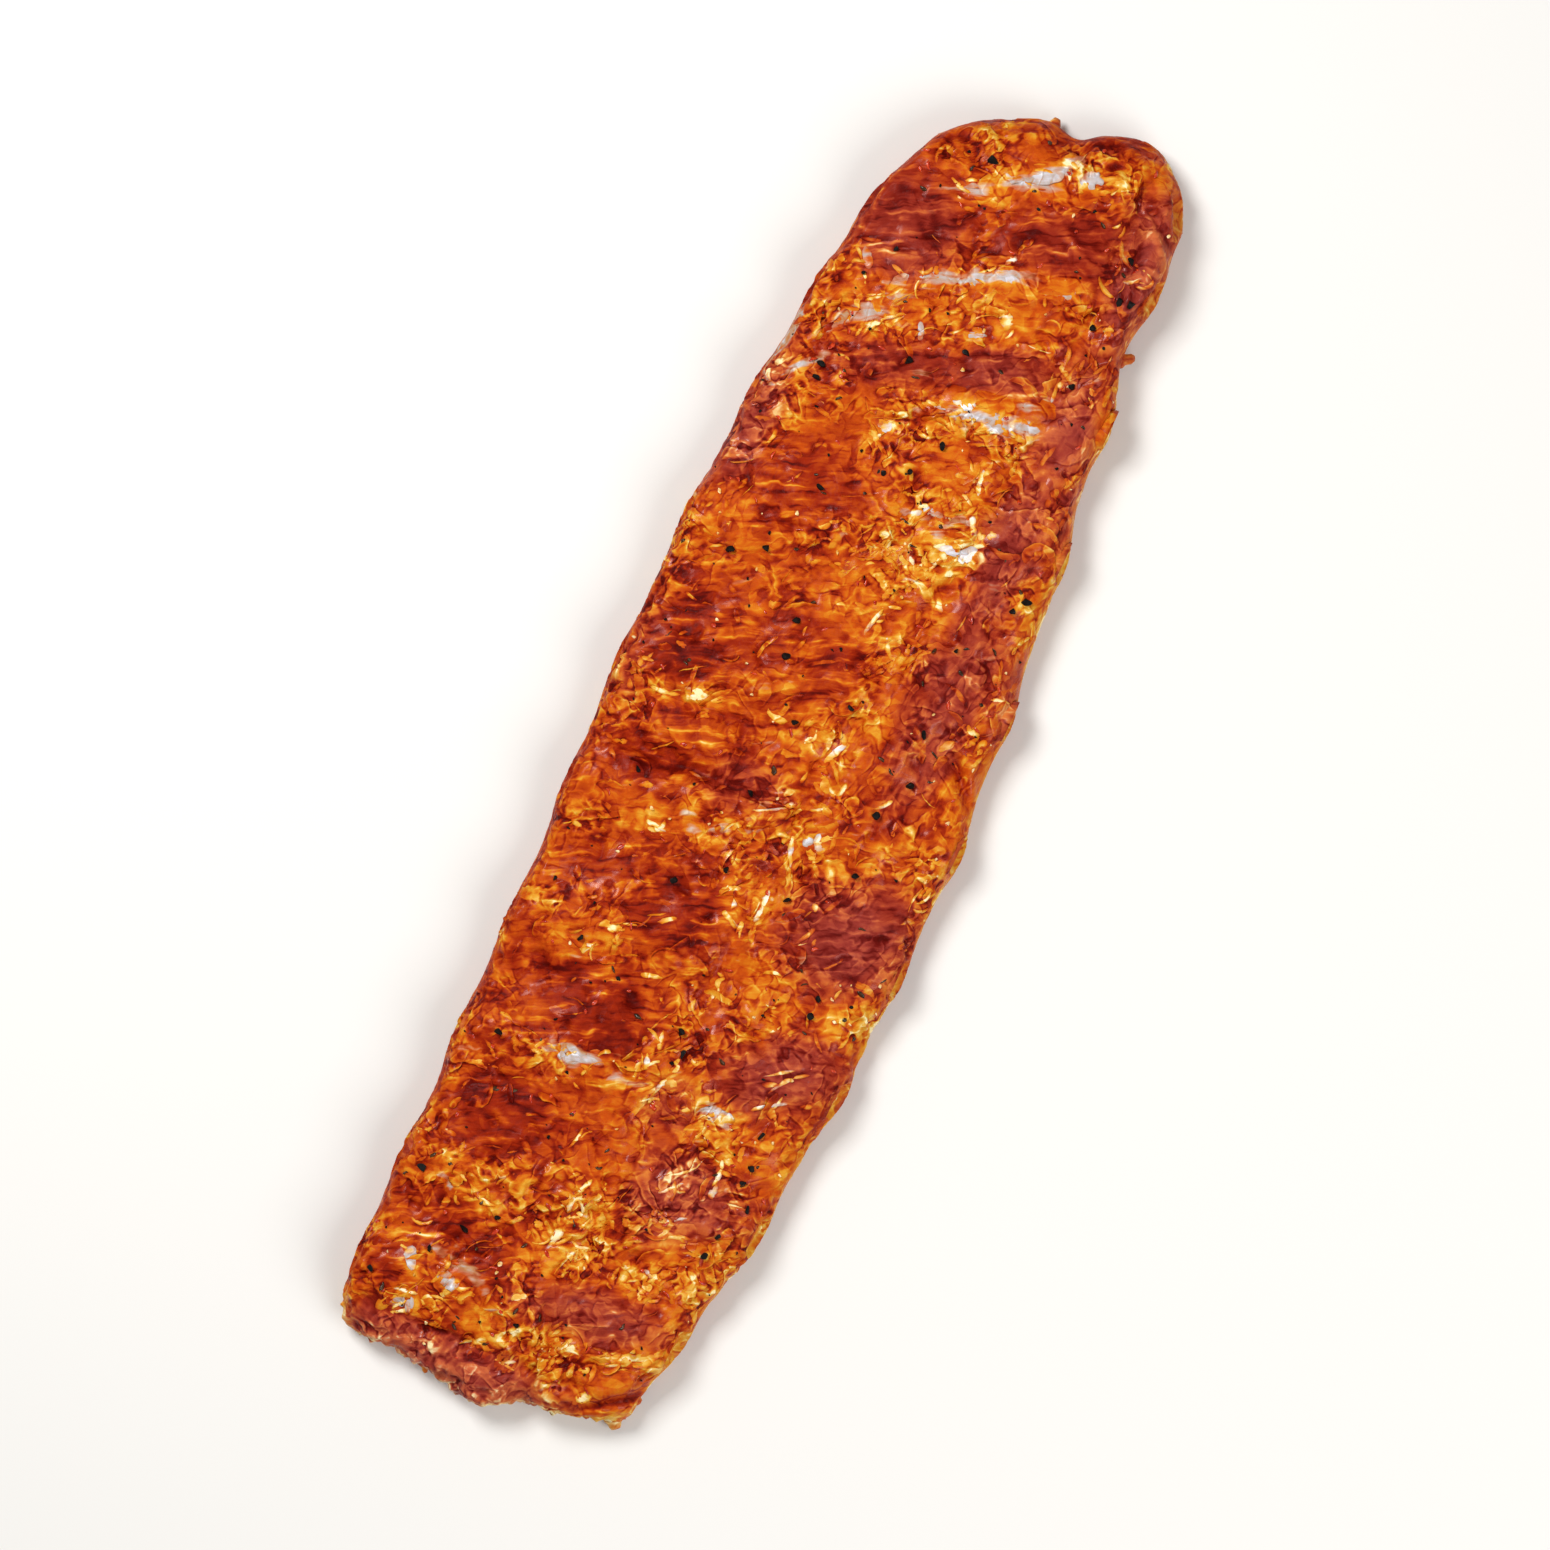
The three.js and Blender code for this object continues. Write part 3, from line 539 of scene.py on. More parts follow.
def mesh_of(name, points, face_sets):
    """A smooth mesh. Each face set is an array of corners, with one number of sides."""
    mesh = bpy.data.meshes.new(name)
    corners = np.concatenate([faces.ravel() for faces in face_sets])
    sides = np.concatenate([np.full(len(faces), faces.shape[1]) for faces in face_sets])
    mesh.vertices.add(len(points))
    mesh.vertices.foreach_set("co", np.ascontiguousarray(points, dtype=np.float32).ravel())
    mesh.loops.add(len(corners))
    mesh.loops.foreach_set("vertex_index", corners.astype(np.int32))
    mesh.polygons.add(len(sides))
    mesh.polygons.foreach_set("loop_start", (np.cumsum(sides) - sides).astype(np.int32))
    mesh.update(calc_edges=True)
    mesh.shade_smooth()
    return mesh


def marks_of(tone, **others):
    """What a marinated piece tells the marinade's shader at each point. What isn't given is 0."""
    others = {"purple": 0, "silver": 0, "broken": 0, "flap": 0, **others}
    return {"tone": tone, **{name: values + 0 * tone for name, values in others.items()}}


def add_piece(context, mesh, material, marks=None, stands_for=()):
    """Puts a mesh in the scene as a piece of the rack."""
    for name, values in (marks or {}).items():
        attribute = mesh.attributes.new(name, "FLOAT", "POINT")
        attribute.data.foreach_set("value", np.ascontiguousarray(values, dtype=np.float32).ravel())
    mesh.materials.append(material)
    piece = bpy.data.objects.new(mesh.name, mesh)
    context.scene.collection.objects.link(piece)
    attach(piece, "root")
    if stands_for:
        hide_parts(*stands_for)
    return piece


def edge_crowded(cells, rounding_cells, start_share, end_share):
    """Shares from 0 to 1 whose steps follow the rounded edges at both ends."""
    turn = 1 - np.cos(np.linspace(0, math.pi / 2, rounding_cells + 1))
    middle = np.linspace(start_share, 1 - end_share, cells - 2 * rounding_cells + 1)
    return np.concatenate([start_share * turn[:-1], middle, 1 - end_share * turn[-2::-1]])


def round_off(distance, radius):
    """A quarter circle's height, as a share, this far in from its foot."""
    return np.sqrt(1 - (1 - np.minimum(distance / radius, 1)) ** 2)


# The slab's grid: cells across and along, those in a rounded edge, rings down the sides, and how many cells of the
# top one cell of the underside spans.
MEAT_ACROSS, MEAT_ALONG = 148, 500
SHOULDER_CELLS = 14
SIDE_RINGS = 9
UNDER_STEP = 4


def slab_mesh(form):
    """The slab: a fine grid on top, rings down the sides and a coarser underside."""
    width, length = plan_size(np.array([0.5]))
    us = edge_crowded(MEAT_ACROSS, SHOULDER_CELLS, ROUND["left"] / width[0], ROUND["right"] / width[0])
    vs = edge_crowded(MEAT_ALONG, SHOULDER_CELLS, ROUND["ends"] / length, ROUND["ends"] / length)
    v, u = (grid.ravel() for grid in np.meshgrid(vs, us, indexing="ij"))
    xy = plan(u, v)
    full = slab_height(form, xy[:, 0], xy[:, 1])
    width, length = plan_size(v)
    rise = round_off(u * width, ROUND["left"]) * round_off((1 - u) * width, ROUND["right"])
    rise *= round_off(v * length, ROUND["ends"]) * round_off((1 - v) * length, ROUND["ends"])
    top = np.column_stack([xy, full * (EDGE_SHARE + (1 - EDGE_SHARE) * rise)])

    index = np.arange(len(top)).reshape(MEAT_ALONG + 1, MEAT_ACROSS + 1)
    quads = [np.stack([index[:-1, :-1], index[:-1, 1:], index[1:, 1:], index[1:, :-1]], axis=-1).reshape(-1, 4)]
    rim = np.concatenate([index[0, :-1], index[:-1, -1], index[-1, :0:-1], index[:0:-1, 0]])
    points, above = [top], rim
    rim_u, rim_v = u[rim], v[rim]
    for angle in np.linspace(0, math.pi / 2, SIDE_RINGS + 1)[1:]:
        inset = FOOT_INSET * (1 - math.cos(angle))
        du, dv = inset / width[rim], inset / length
        ring_xy = plan(du + rim_u * (1 - 2 * du), dv + rim_v * (1 - 2 * dv))
        ring = sum(len(p) for p in points) + np.arange(len(rim))
        points.append(np.column_stack([ring_xy, top[rim, 2] * (1 - math.sin(angle))]))
        quads.append(np.stack([ring, np.roll(ring, -1), np.roll(above, -1), above], axis=1))
        above = ring

    under_points, under_faces = slab_underside(us, vs, above, width, length, sum(len(p) for p in points))
    points.append(under_points)
    return np.concatenate(points), [np.concatenate(quads), *under_faces], len(top)


def slab_underside(us, vs, foot, widths, length, first):
    """A coarse grid that closes the slab underneath. Its outer cells take in the fine foot ring's vertices."""
    across, along = MEAT_ACROSS // UNDER_STEP, MEAT_ALONG // UNDER_STEP
    coarse = -np.ones((along + 1, across + 1), int)
    inner_v, inner_u = np.meshgrid(vs[::UNDER_STEP][1:-1], us[::UNDER_STEP][1:-1], indexing="ij")
    coarse[1:-1, 1:-1] = first + np.arange(inner_u.size).reshape(inner_u.shape)
    inner_u, inner_v = inner_u.ravel(), inner_v.ravel()
    du, dv = FOOT_INSET / plan_size(inner_v)[0], FOOT_INSET / length
    xy = plan(du + inner_u * (1 - 2 * du), dv + inner_v * (1 - 2 * dv))

    sides = {
        "low": foot[:MEAT_ACROSS + 1],
        "right": foot[MEAT_ACROSS:MEAT_ACROSS + MEAT_ALONG + 1],
        "high": foot[MEAT_ACROSS + MEAT_ALONG:2 * MEAT_ACROSS + MEAT_ALONG + 1][::-1],
        "left": np.append(foot[2 * MEAT_ACROSS + MEAT_ALONG:], foot[0])[::-1],
    }
    coarse[0], coarse[-1] = sides["low"][::UNDER_STEP], sides["high"][::UNDER_STEP]
    coarse[:, 0], coarse[:, -1] = sides["left"][::UNDER_STEP], sides["right"][::UNDER_STEP]

    def stretch(side, cell):
        return list(sides[side][cell * UNDER_STEP:(cell + 1) * UNDER_STEP])

    faces = {}
    for j in range(along):
        for i in range(across):
            low = stretch("low", i) if j == 0 else [coarse[j, i]]
            right = stretch("right", j) if i == across - 1 else [coarse[j, i + 1]]
            high = [coarse[j + 1, i + 1]]
            if j == along - 1:
                high = list(sides["high"][i * UNDER_STEP + 1:(i + 1) * UNDER_STEP + 1])[::-1]
            left = [coarse[j + 1, i]]
            if i == 0:
                left = list(sides["left"][j * UNDER_STEP + 1:(j + 1) * UNDER_STEP + 1])[::-1]
            face = (low + right + high + left)[::-1]
            faces.setdefault(len(face), []).append(face)
    return np.column_stack([xy, np.zeros(len(xy))]), [np.array(group) for group in faces.values()]


def meat_relief(form, points, lean):
    """How far the meat stands out of its smooth form at each point, and how that changes its tone."""
    crags = noise(points, 15 * MM, 1) * 0.5 + noise(points, 8.5 * MM, 2) * 0.4
    loose = swirled(swirled(points, 3 * MM, 10 * MM, 3), 0.8 * MM, 3.6 * MM, 5)
    waves, wave_shade = overlaps(loose, 11 * MM, 6 * MM, 7)
    folds, fold_shade = overlaps(swirled(loose, 0.8 * MM, 2 * MM, 9), 6 * MM, 2.8 * MM, 11)
    flakes, flake_tone = scales(loose, 7.5 * MM, 3.6 * MM, 1)
    clusters = crowding(points)
    fibres = grained(swirled(points, 0.7 * MM, 3 * MM, 23), 12 * MM, 2 * MM, 24)
    pits = ease((noise(swirled(points, 2 * MM, 6 * MM, 19), 5.5 * MM, 21) - 0.3) / 0.4)
    fatty = 1 - 0.65 * lean
    flaky = fatty * (0.45 + 0.55 * clusters)

    lift = form.crag_height * crags + form.wave_height * waves * flaky + flaky * form.flake_height * flakes
    lift *= 1 - 0.7 * stroke_glow(points, SLIVERS)
    lift -= 0.3 * crease_depth(points[:, 0], points[:, 1], LINES)
    small = fatty * clusters * form.fold_height * folds
    lift += small - form.pit_depth * pits + form.fibre_height * lean * fibres

    # The tone change holds painted light: darker in the pits and in the creases of folds and waves, paler on their
    # crests and on the high side of each flake. The fibres and each flake's own tone are colour.
    change = 0.04 * flakes - 0.13 * pits + 0.26 * lean * peaky(fibres)
    change += flaky * (0.08 * wave_shade + 0.18 * clusters * fold_shade + 0.06 * peaky(flake_tone))
    return lift, change


# How the meat draws back at a bone's cut end and where a bone is bare.
BONE_SEAT = 0.3 * MM
HOLLOW_REACH = 8 * MM
HOLLOW_DEPTH = 2.2 * MM
BARE_DEPTH = 0.1 * MM


def bone_hollows(form, points, top_count):
    """How far the meat draws back round the bones: at their cut ends, and along the bare spans."""
    pull = np.zeros_like(points)
    x, y = points[:top_count, 0], points[:top_count, 1]
    for rib in range(len(RIBS)):
        middles, half = bone_sections(form, rib, 1)
        for end, inward in ((0, 1), (-1, -1)):
            off = (points[:, 1:] - middles[end, 1:]) / (half[end] - BONE_SEAT)
            near = np.abs(points[:, 0] - middles[end, 0]) < HOLLOW_REACH
            inside = near * (1 - ease((np.hypot(off[:, 0], off[:, 1]) - 0.85) / 0.25))
            pull[:, 0] += inward * HOLLOW_DEPTH * inside
        beside = np.abs(y - rib_middle(rib, x)) / MM
        pull[:top_count, 2] -= BARE_DEPTH * bareness(rib, x) * (1 - ease((beside - 1.6) / 2.6))
    return pull


# Materials ------------------------------------------------------------------------------------------------------

def feed(tree, made, inputs):
    """Gives a node's inputs sockets to follow or plain values."""
    for name, value in inputs.items():
        if isinstance(value, bpy.types.NodeSocket):
            tree.links.new(value, made.inputs[name])
        else:
            made.inputs[name].default_value = value


def node(tree, kind, inputs=None, **settings):
    """Adds a node with these settings and inputs."""
    made = tree.nodes.new(kind)
    for name, value in settings.items():
        setattr(made, name, value)
    feed(tree, made, inputs or {})
    return made


def new_group(name, inputs, outputs):
    """An empty shader group, with its sockets' inside ends. Inputs are (name, socket kind, default)."""
    tree = bpy.data.node_groups.new(name, "ShaderNodeTree")
    for label, kind, default in inputs:
        tree.interface.new_socket(label, in_out="INPUT", socket_type=kind).default_value = default
    for label, kind in outputs:
        tree.interface.new_socket(label, in_out="OUTPUT", socket_type=kind)
    return tree, tree.nodes.new("NodeGroupInput").outputs, tree.nodes.new("NodeGroupOutput")


def ramp(tree, factor, stops):
    """A colour ramp through (place, colour) stops."""
    made = node(tree, "ShaderNodeValToRGB", {"Fac": factor})
    elements = made.color_ramp.elements
    while len(elements) < len(stops):
        elements.new(0.5)
    for element, (place, colour) in zip(elements, stops):
        element.position = place
        element.color = (*colour, 1)
    return made.outputs["Color"]


def maths(tree, operation, *values, clamp=False):
    """One step of sums in a shader."""
    made = node(tree, "ShaderNodeMath", dict(enumerate(values)), operation=operation, use_clamp=clamp)
    return made.outputs[0]


def times(tree, first, *others):
    """A product in a shader."""
    for value in others:
        first = maths(tree, "MULTIPLY", first, value)
    return first


def vector_maths(tree, operation, first, second):
    """One step of sums with directions in a shader."""
    return node(tree, "ShaderNodeVectorMath", {0: first, 1: second}, operation=operation)


def graded(tree, value, low, high, start=0, end=1):
    """Where a value goes from low to high, one that goes from start to end and stops at both."""
    return node(tree, "ShaderNodeMapRange", {0: value, 1: low, 2: high, 3: start, 4: end}).outputs[0]


def cloud(tree, place, scale, detail, roughness=0.5, output="Fac"):
    """Soft noise in a shader, with so many lumps to a metre."""
    return node(tree, "ShaderNodeTexNoise", {
        "Vector": place, "Scale": scale, "Detail": detail, "Roughness": roughness,
    }).outputs[output]


def over(tree, share, below, above):
    """One colour over another, by its share."""
    return node(tree, "ShaderNodeMix", {0: share, 6: below, 7: above}, data_type="RGBA").outputs[2]


def drawn_out(tree, place, turn, along, across):
    """Shader coordinates in axes turned by this angle, with so many steps to a metre along and across them."""
    return node(tree, "ShaderNodeMapping", {
        "Vector": place, "Rotation": (0, 0, math.radians(turn)), "Scale": (1 / along, 1 / across, 1 / across),
    }, vector_type="TEXTURE").outputs[0]


def strokes(tree, place, turn, stretch, scale):
    """Small flakes in a shader, drawn out at an angle: a random number for each, how each one tilts, and the lines
    between them."""
    drawn = drawn_out(tree, place, turn, scale * stretch, scale)
    cells = node(tree, "ShaderNodeTexVoronoi", {"Vector": drawn, "Scale": 1}).outputs
    offset = vector_maths(tree, "SUBTRACT", drawn, cells["Position"]).outputs[0]
    slope = vector_maths(tree, "SUBTRACT", cells["Color"], (0.5, 0.5, 0.5)).outputs[0]
    tilt = vector_maths(tree, "DOT_PRODUCT", offset, slope).outputs["Value"]
    chance = node(tree, "ShaderNodeSeparateColor", {"Color": cells["Color"]}).outputs["Blue"]
    edge = node(tree, "ShaderNodeTexVoronoi", {"Vector": drawn, "Scale": 1}, feature="DISTANCE_TO_EDGE")
    line = graded(tree, edge.outputs["Distance"], 0.01, 0.1, 1, 0)
    return maths(tree, "SUBTRACT", chance, 0.5), tilt, line


def fibres(tree, place, turn, along, across):
    """Fibres in a shader, drawn out at an angle: so many to a metre along and across them."""
    return maths(tree, "SUBTRACT", cloud(tree, drawn_out(tree, place, turn, along, across), 1, 2, 0.6), 0.5)


# Across a fold: places in the noise that forms it, with its painted light there, from painted shade in the crease to
# a painted highlight on the crest, and how high it is there.
FOLD_SHADES = ((0.4, 0.5), (0.46, 0.08), (0.5, 0.5), (0.53, 1), (0.58, 0.82), (0.68, 0.5))
FOLD_HEIGHTS = ((0.42, 0), (0.46, 0), (0.52, 1), (0.75, 0.25))
# The folds' turn in degrees, how drawn out they are, how many there are to a metre, and their height.
FOLD_SETS = ((FIBRE_TURN, 0.35, 230, 0.6), (75, 0.45, 330, 0.4), (-35, 0.4, 280, 0.4))


def folds(tree, place, turn, stretch, scale):
    """Small folds in a shader, drawn out at an angle: their painted light, from painted shade in the crease to a
    painted highlight on the crest, and their height."""
    wave = cloud(tree, drawn_out(tree, place, turn, scale * stretch, scale), 1, 1, 0.4)
    shade, height = (
        ramp(tree, wave, [(stop, (level,) * 3) for stop, level in levels]) for levels in (FOLD_SHADES, FOLD_HEIGHTS)
    )
    return maths(tree, "SUBTRACT", shade, 0.5), height


def sharpened(tree, value, gain):
    """Keeps a value's strong parts and weakens the rest."""
    return times(tree, value, gain, maths(tree, "ABSOLUTE", value))


def marinade_group(colours):
    """Marinade over meat: the colour at a tone, broken up by folds with painted shade and highlights, flakes,
    blotches and fibres, and their height.
    """
    tree, given, out = new_group(
        "Marinade",
        [("Tone", "NodeSocketFloat", 0.5), ("Purple", "NodeSocketFloat", 0), ("Silver", "NodeSocketFloat", 0),
         ("Broken", "NodeSocketFloat", 1), ("Flap", "NodeSocketFloat", 0)],
        [("Colour", "NodeSocketColor"), ("Height", "NodeSocketFloat"), ("Dryness", "NodeSocketFloat"),
         ("Gloss", "NodeSocketFloat")],
    )
    place = node(tree, "ShaderNodeTexCoord").outputs["Object"]
    push = vector_maths(tree, "ADD", cloud(tree, place, 150, 2, output="Color"), (-0.5, -0.5, -0.5)).outputs[0]
    push = node(tree, "ShaderNodeVectorMath", {0: push, "Scale": 3.5 * MM}, operation="SCALE").outputs[0]
    loose = vector_maths(tree, "ADD", place, push).outputs[0]

    # Blotches and flakes everywhere, and each set of folds in places of its own.
    blotch = maths(tree, "SUBTRACT", cloud(tree, loose, 430, 4, 0.62), 0.5)
    chance, tilt, line = strokes(tree, loose, RIB_GRAIN, 0.5, 420)
    shares = node(tree, "ShaderNodeSeparateColor", {"Color": cloud(tree, loose, 130, 1, output="Color")}).outputs
    shares = [graded(tree, share, 0.47, 0.6) for share in shares]
    change = times(tree, blotch, 0.4)
    height = maths(tree, "MULTIPLY_ADD", times(tree, line, shares[0]), -0.15, times(tree, tilt, 0.5))
    # Each set of folds paints shade in its creases and highlights on its crests.
    for (turn, stretch, scale, rise), share in zip(FOLD_SETS, shares):
        shade, crest = folds(tree, loose, turn, stretch, scale)
        change = maths(tree, "ADD", change, times(tree, shade, 0.55, share))
        height = maths(tree, "MULTIPLY_ADD", times(tree, crest, share), rise, height)
    change = maths(tree, "ADD", sharpened(tree, chance, 0.6), change)
    # Each flake is painted paler towards its raised side, as painted light, by the same tilt that goes into its
    # height.
    change = maths(tree, "MULTIPLY_ADD", tilt, 0.12, change)
    height = maths(tree, "MULTIPLY_ADD", blotch, 0.8, height)

    # Where the meat isn't broken up, its fibres show.
    over_ribs, along_flap = (fibres(tree, loose, turn, 60, 480) for turn in (FIBRE_TURN, FLAP_GRAIN))
    fibre = node(tree, "ShaderNodeMix", {0: given["Flap"], 2: over_ribs, 3: along_flap}).outputs[0]
    whole = maths(tree, "SUBTRACT", 1.1, given["Broken"])
    change = maths(tree, "ADD", times(tree, change, given["Broken"]), times(tree, sharpened(tree, fibre, 8), whole))
    height = maths(tree, "MULTIPLY_ADD", times(tree, fibre, 0.7), whole, times(tree, height, given["Broken"]))

    tone = maths(tree, "ADD", change, given["Tone"])
    plain = ramp(tree, tone, [
        (0, colours.crevice), (0.14, colours.lean), (0.3, colours.red), (0.46, colours.orange),
        (0.6, colours.amber), (0.74, colours.gold), (0.88, colours.fat), (1, colours.pale_fat),
    ])
    purple = ramp(tree, tone, [
        (0, colours.crevice), (0.2, colours.purple_dark), (0.39, colours.purple), (0.66, colours.purple_light),
        (1, colours.pale_fat),
    ])
    silver = ramp(tree, tone, [
        (0.1, colours.orange), (0.35, colours.silver_dark), (0.6, colours.silver), (0.82, colours.silver_light),
        (1, colours.silver_glint),
    ])
    skin = maths(tree, "MULTIPLY_ADD", fibres(tree, loose, FIBRE_TURN, 70, 240), 1.8, given["Silver"])
    skin = graded(tree, maths(tree, "MULTIPLY_ADD", over_ribs, 0.8, skin), 0.4, 0.8)
    feed(tree, out, {
        "Colour": over(tree, skin, over(tree, given["Purple"], plain, purple), silver),
        "Height": height,
        "Dryness": maths(tree, "MULTIPLY_ADD", chance, 0.5, 0.5, clamp=True),
        "Gloss": graded(tree, tone, 0.2, 0.42),
    })
    return tree


def wet_group():
    """A film of oil and juice: gloss that varies, and tiny ripples."""
    tree, given, out = new_group(
        "Wet film",
        [("Dryness", "NodeSocketFloat", 0.5), ("Smooth", "NodeSocketFloat", 0.2), ("Rough", "NodeSocketFloat", 0.5),
         ("Gloss", "NodeSocketFloat", 1)],
        [("Roughness", "NodeSocketFloat"), ("Film", "NodeSocketFloat"), ("Ripple", "NodeSocketFloat")],
    )
    place = node(tree, "ShaderNodeTexCoord").outputs["Object"]
    patchy = maths(tree, "MULTIPLY_ADD", cloud(tree, place, 160, 3), 1.6, -0.75)
    dry = maths(tree, "ADD", patchy, given["Dryness"], clamp=True)
    feed(tree, out, {
        "Roughness": graded(tree, dry, 0, 1, given["Smooth"], given["Rough"]),
        "Film": times(tree, graded(tree, dry, 0.2, 0.5, 0.35, 0), given["Gloss"]),
        "Ripple": cloud(tree, place, 1300, 2),
    })
    return tree


def shared_group(name, make, *values):
    """The shader group of this name, made when it is first asked for."""
    return bpy.data.node_groups.get(name) or make(*values)


def mark(tree, name):
    """What a piece tells its shader under this name."""
    return node(tree, "ShaderNodeAttribute", attribute_name=name).outputs["Fac"]


def new_material(name):
    """A material with its node tree and its shader."""
    material = bpy.data.materials.new(name)
    material.use_nodes = True
    return material, material.node_tree, material.node_tree.nodes["Principled BSDF"]


def meaty_material(context, name, relief, smooth=0.2, rough=0.5, glow=0.06):
    """Marinated meat or fat: the marinade's colours under a wet film, with a little light soaking in."""
    material, tree, shader = new_material(name)
    stain = node(tree, "ShaderNodeGroup", {
        socket: mark(tree, socket.lower()) for socket in ("Tone", "Purple", "Silver", "Broken", "Flap")
    }, node_tree=shared_group("Marinade", marinade_group, context.scene.rack_colours)).outputs
    wet = node(tree, "ShaderNodeGroup", {
        "Dryness": stain["Dryness"], "Gloss": stain["Gloss"], "Smooth": smooth, "Rough": rough,
    }, node_tree=shared_group("Wet film", wet_group)).outputs
    coarse = node(tree, "ShaderNodeBump", {"Height": stain["Height"], "Distance": relief, "Strength": 1})
    fine = node(tree, "ShaderNodeBump", {
        "Height": wet["Ripple"], "Distance": 0.12 * MM, "Strength": 1, "Normal": coarse.outputs[0],
    })
    feed(tree, shader, {
        "Base Color": stain["Colour"], "Roughness": wet["Roughness"], "Coat Weight": wet["Film"],
        "Normal": fine.outputs[0],
        "IOR": 1.45, "Specular IOR Level": 0.05, "Coat Roughness": 0.18, "Coat IOR": 1.45,
        "Subsurface Weight": glow, "Subsurface Radius": (1, 0.35, 0.2), "Subsurface Scale": 1.2 * MM,
    })
    return material


def plain_material(name, colours, scale, roughness, coat, relief=0.1 * MM):
    """A plain hard thing, such as pepper or a spice flake: two colours in patches, so many to a metre."""
    material, tree, shader = new_material(name)
    patchy = cloud(tree, node(tree, "ShaderNodeTexCoord").outputs["Object"], scale, 3)
    rough = node(tree, "ShaderNodeBump", {"Height": patchy, "Distance": relief, "Strength": 1})
    feed(tree, shader, {
        "Base Color": ramp(tree, patchy, [(0.35, colours[0]), (0.65, colours[1])]), "Normal": rough.outputs[0],
        "Roughness": roughness, "Specular IOR Level": 0.15, "Coat Weight": coat, "Coat Roughness": 0.15,
    })
    return material


# Things laid on the meat ----------------------------------------------------------------------------------------

# Added to a length before something is divided by it, in case it is 0.
TINY = 1e-12
# The height from which things fall on the meat, and the one at which its marks are read where they lie.
DROP_HEIGHT = 0.1
MARK_HEIGHT = 15 * MM


def sweep(paths, ups, widths, depths, sides):
    """Closed strips, with an oval section carried along each path. Every strip has as many rings."""
    along = np.gradient(paths, axis=1)
    along /= np.linalg.norm(along, axis=2, keepdims=True) + TINY
    across = np.cross(ups, along)
    across /= np.linalg.norm(across, axis=2, keepdims=True) + TINY
    upright = np.cross(along, across)
    angle = 2 * math.pi * (np.arange(sides) + 0.5) / sides
    ring = across[:, :, None] * (widths[:, :, None] * np.cos(angle) / 2)[..., None]
    ring = ring + upright[:, :, None] * (depths[:, :, None] * np.sin(angle) / 2)[..., None]
    points = paths[:, :, None] + ring
    index = np.arange(points.size // 3).reshape(points.shape[:3])
    near, far = index[:, :-1], index[:, 1:]
    quads = np.stack([near, np.roll(near, -1, axis=2), np.roll(far, -1, axis=2), far], axis=-1)
    caps = np.concatenate([index[:, 0, ::-1], index[:, -1]])
    return points.reshape(-1, 3), [quads.reshape(-1, 4), caps]


class Top:
    """The top of the finished meat, to lay things on."""

    def __init__(self, context):
        meat = bpy.data.objects.get("marinated_meat")
        if meat is None:
            raise RuntimeError("make the marinated meat first")
        self.tree = BVHTree.FromObject(meat, context.evaluated_depsgraph_get())
        self.shift = frame_shift(context.scene.rack_form)

    def under(self, xy):
        """The place and the normal of the meat's top under each point. A miss gives not-a-number."""
        places = np.full((len(xy), 3), np.nan)
        normals = np.tile([0.0, 0.0, 1.0], (len(xy), 1))
        for k, (x, y) in enumerate(xy + self.shift[:2]):
            hit, normal, _, _ = self.tree.ray_cast(Vector((x, y, DROP_HEIGHT)), Vector((0, 0, -1)))
            if hit is not None:
                places[k], normals[k] = hit, normal
        return places - self.shift, normals


def spread(rng, count, chance, margin=0.015):
    """Random places in the plan, as many as asked for, kept by their chance from 0 to 1."""
    kept = np.zeros((0, 2))
    while len(kept) < count:
        uv = margin + (1 - 2 * margin) * rng.random((4 * count, 2))
        xy = plan(uv[:, 0], uv[:, 1])
        kept = np.concatenate([kept, xy[rng.random(len(xy)) < chance(xy)]])
    return kept[:count]


def flat_points(xy):
    """Places in the plan as points, to read the meat's marks there."""
    return np.column_stack([xy, np.full(len(xy), MARK_HEIGHT)])


def upward(sides):
    """How far up each side of a strip faces."""
    return np.sin(2 * math.pi * (np.arange(sides) + 0.5) / sides)


def even(xy):
    """The same chance everywhere."""
    return np.full(len(xy), 0.5)


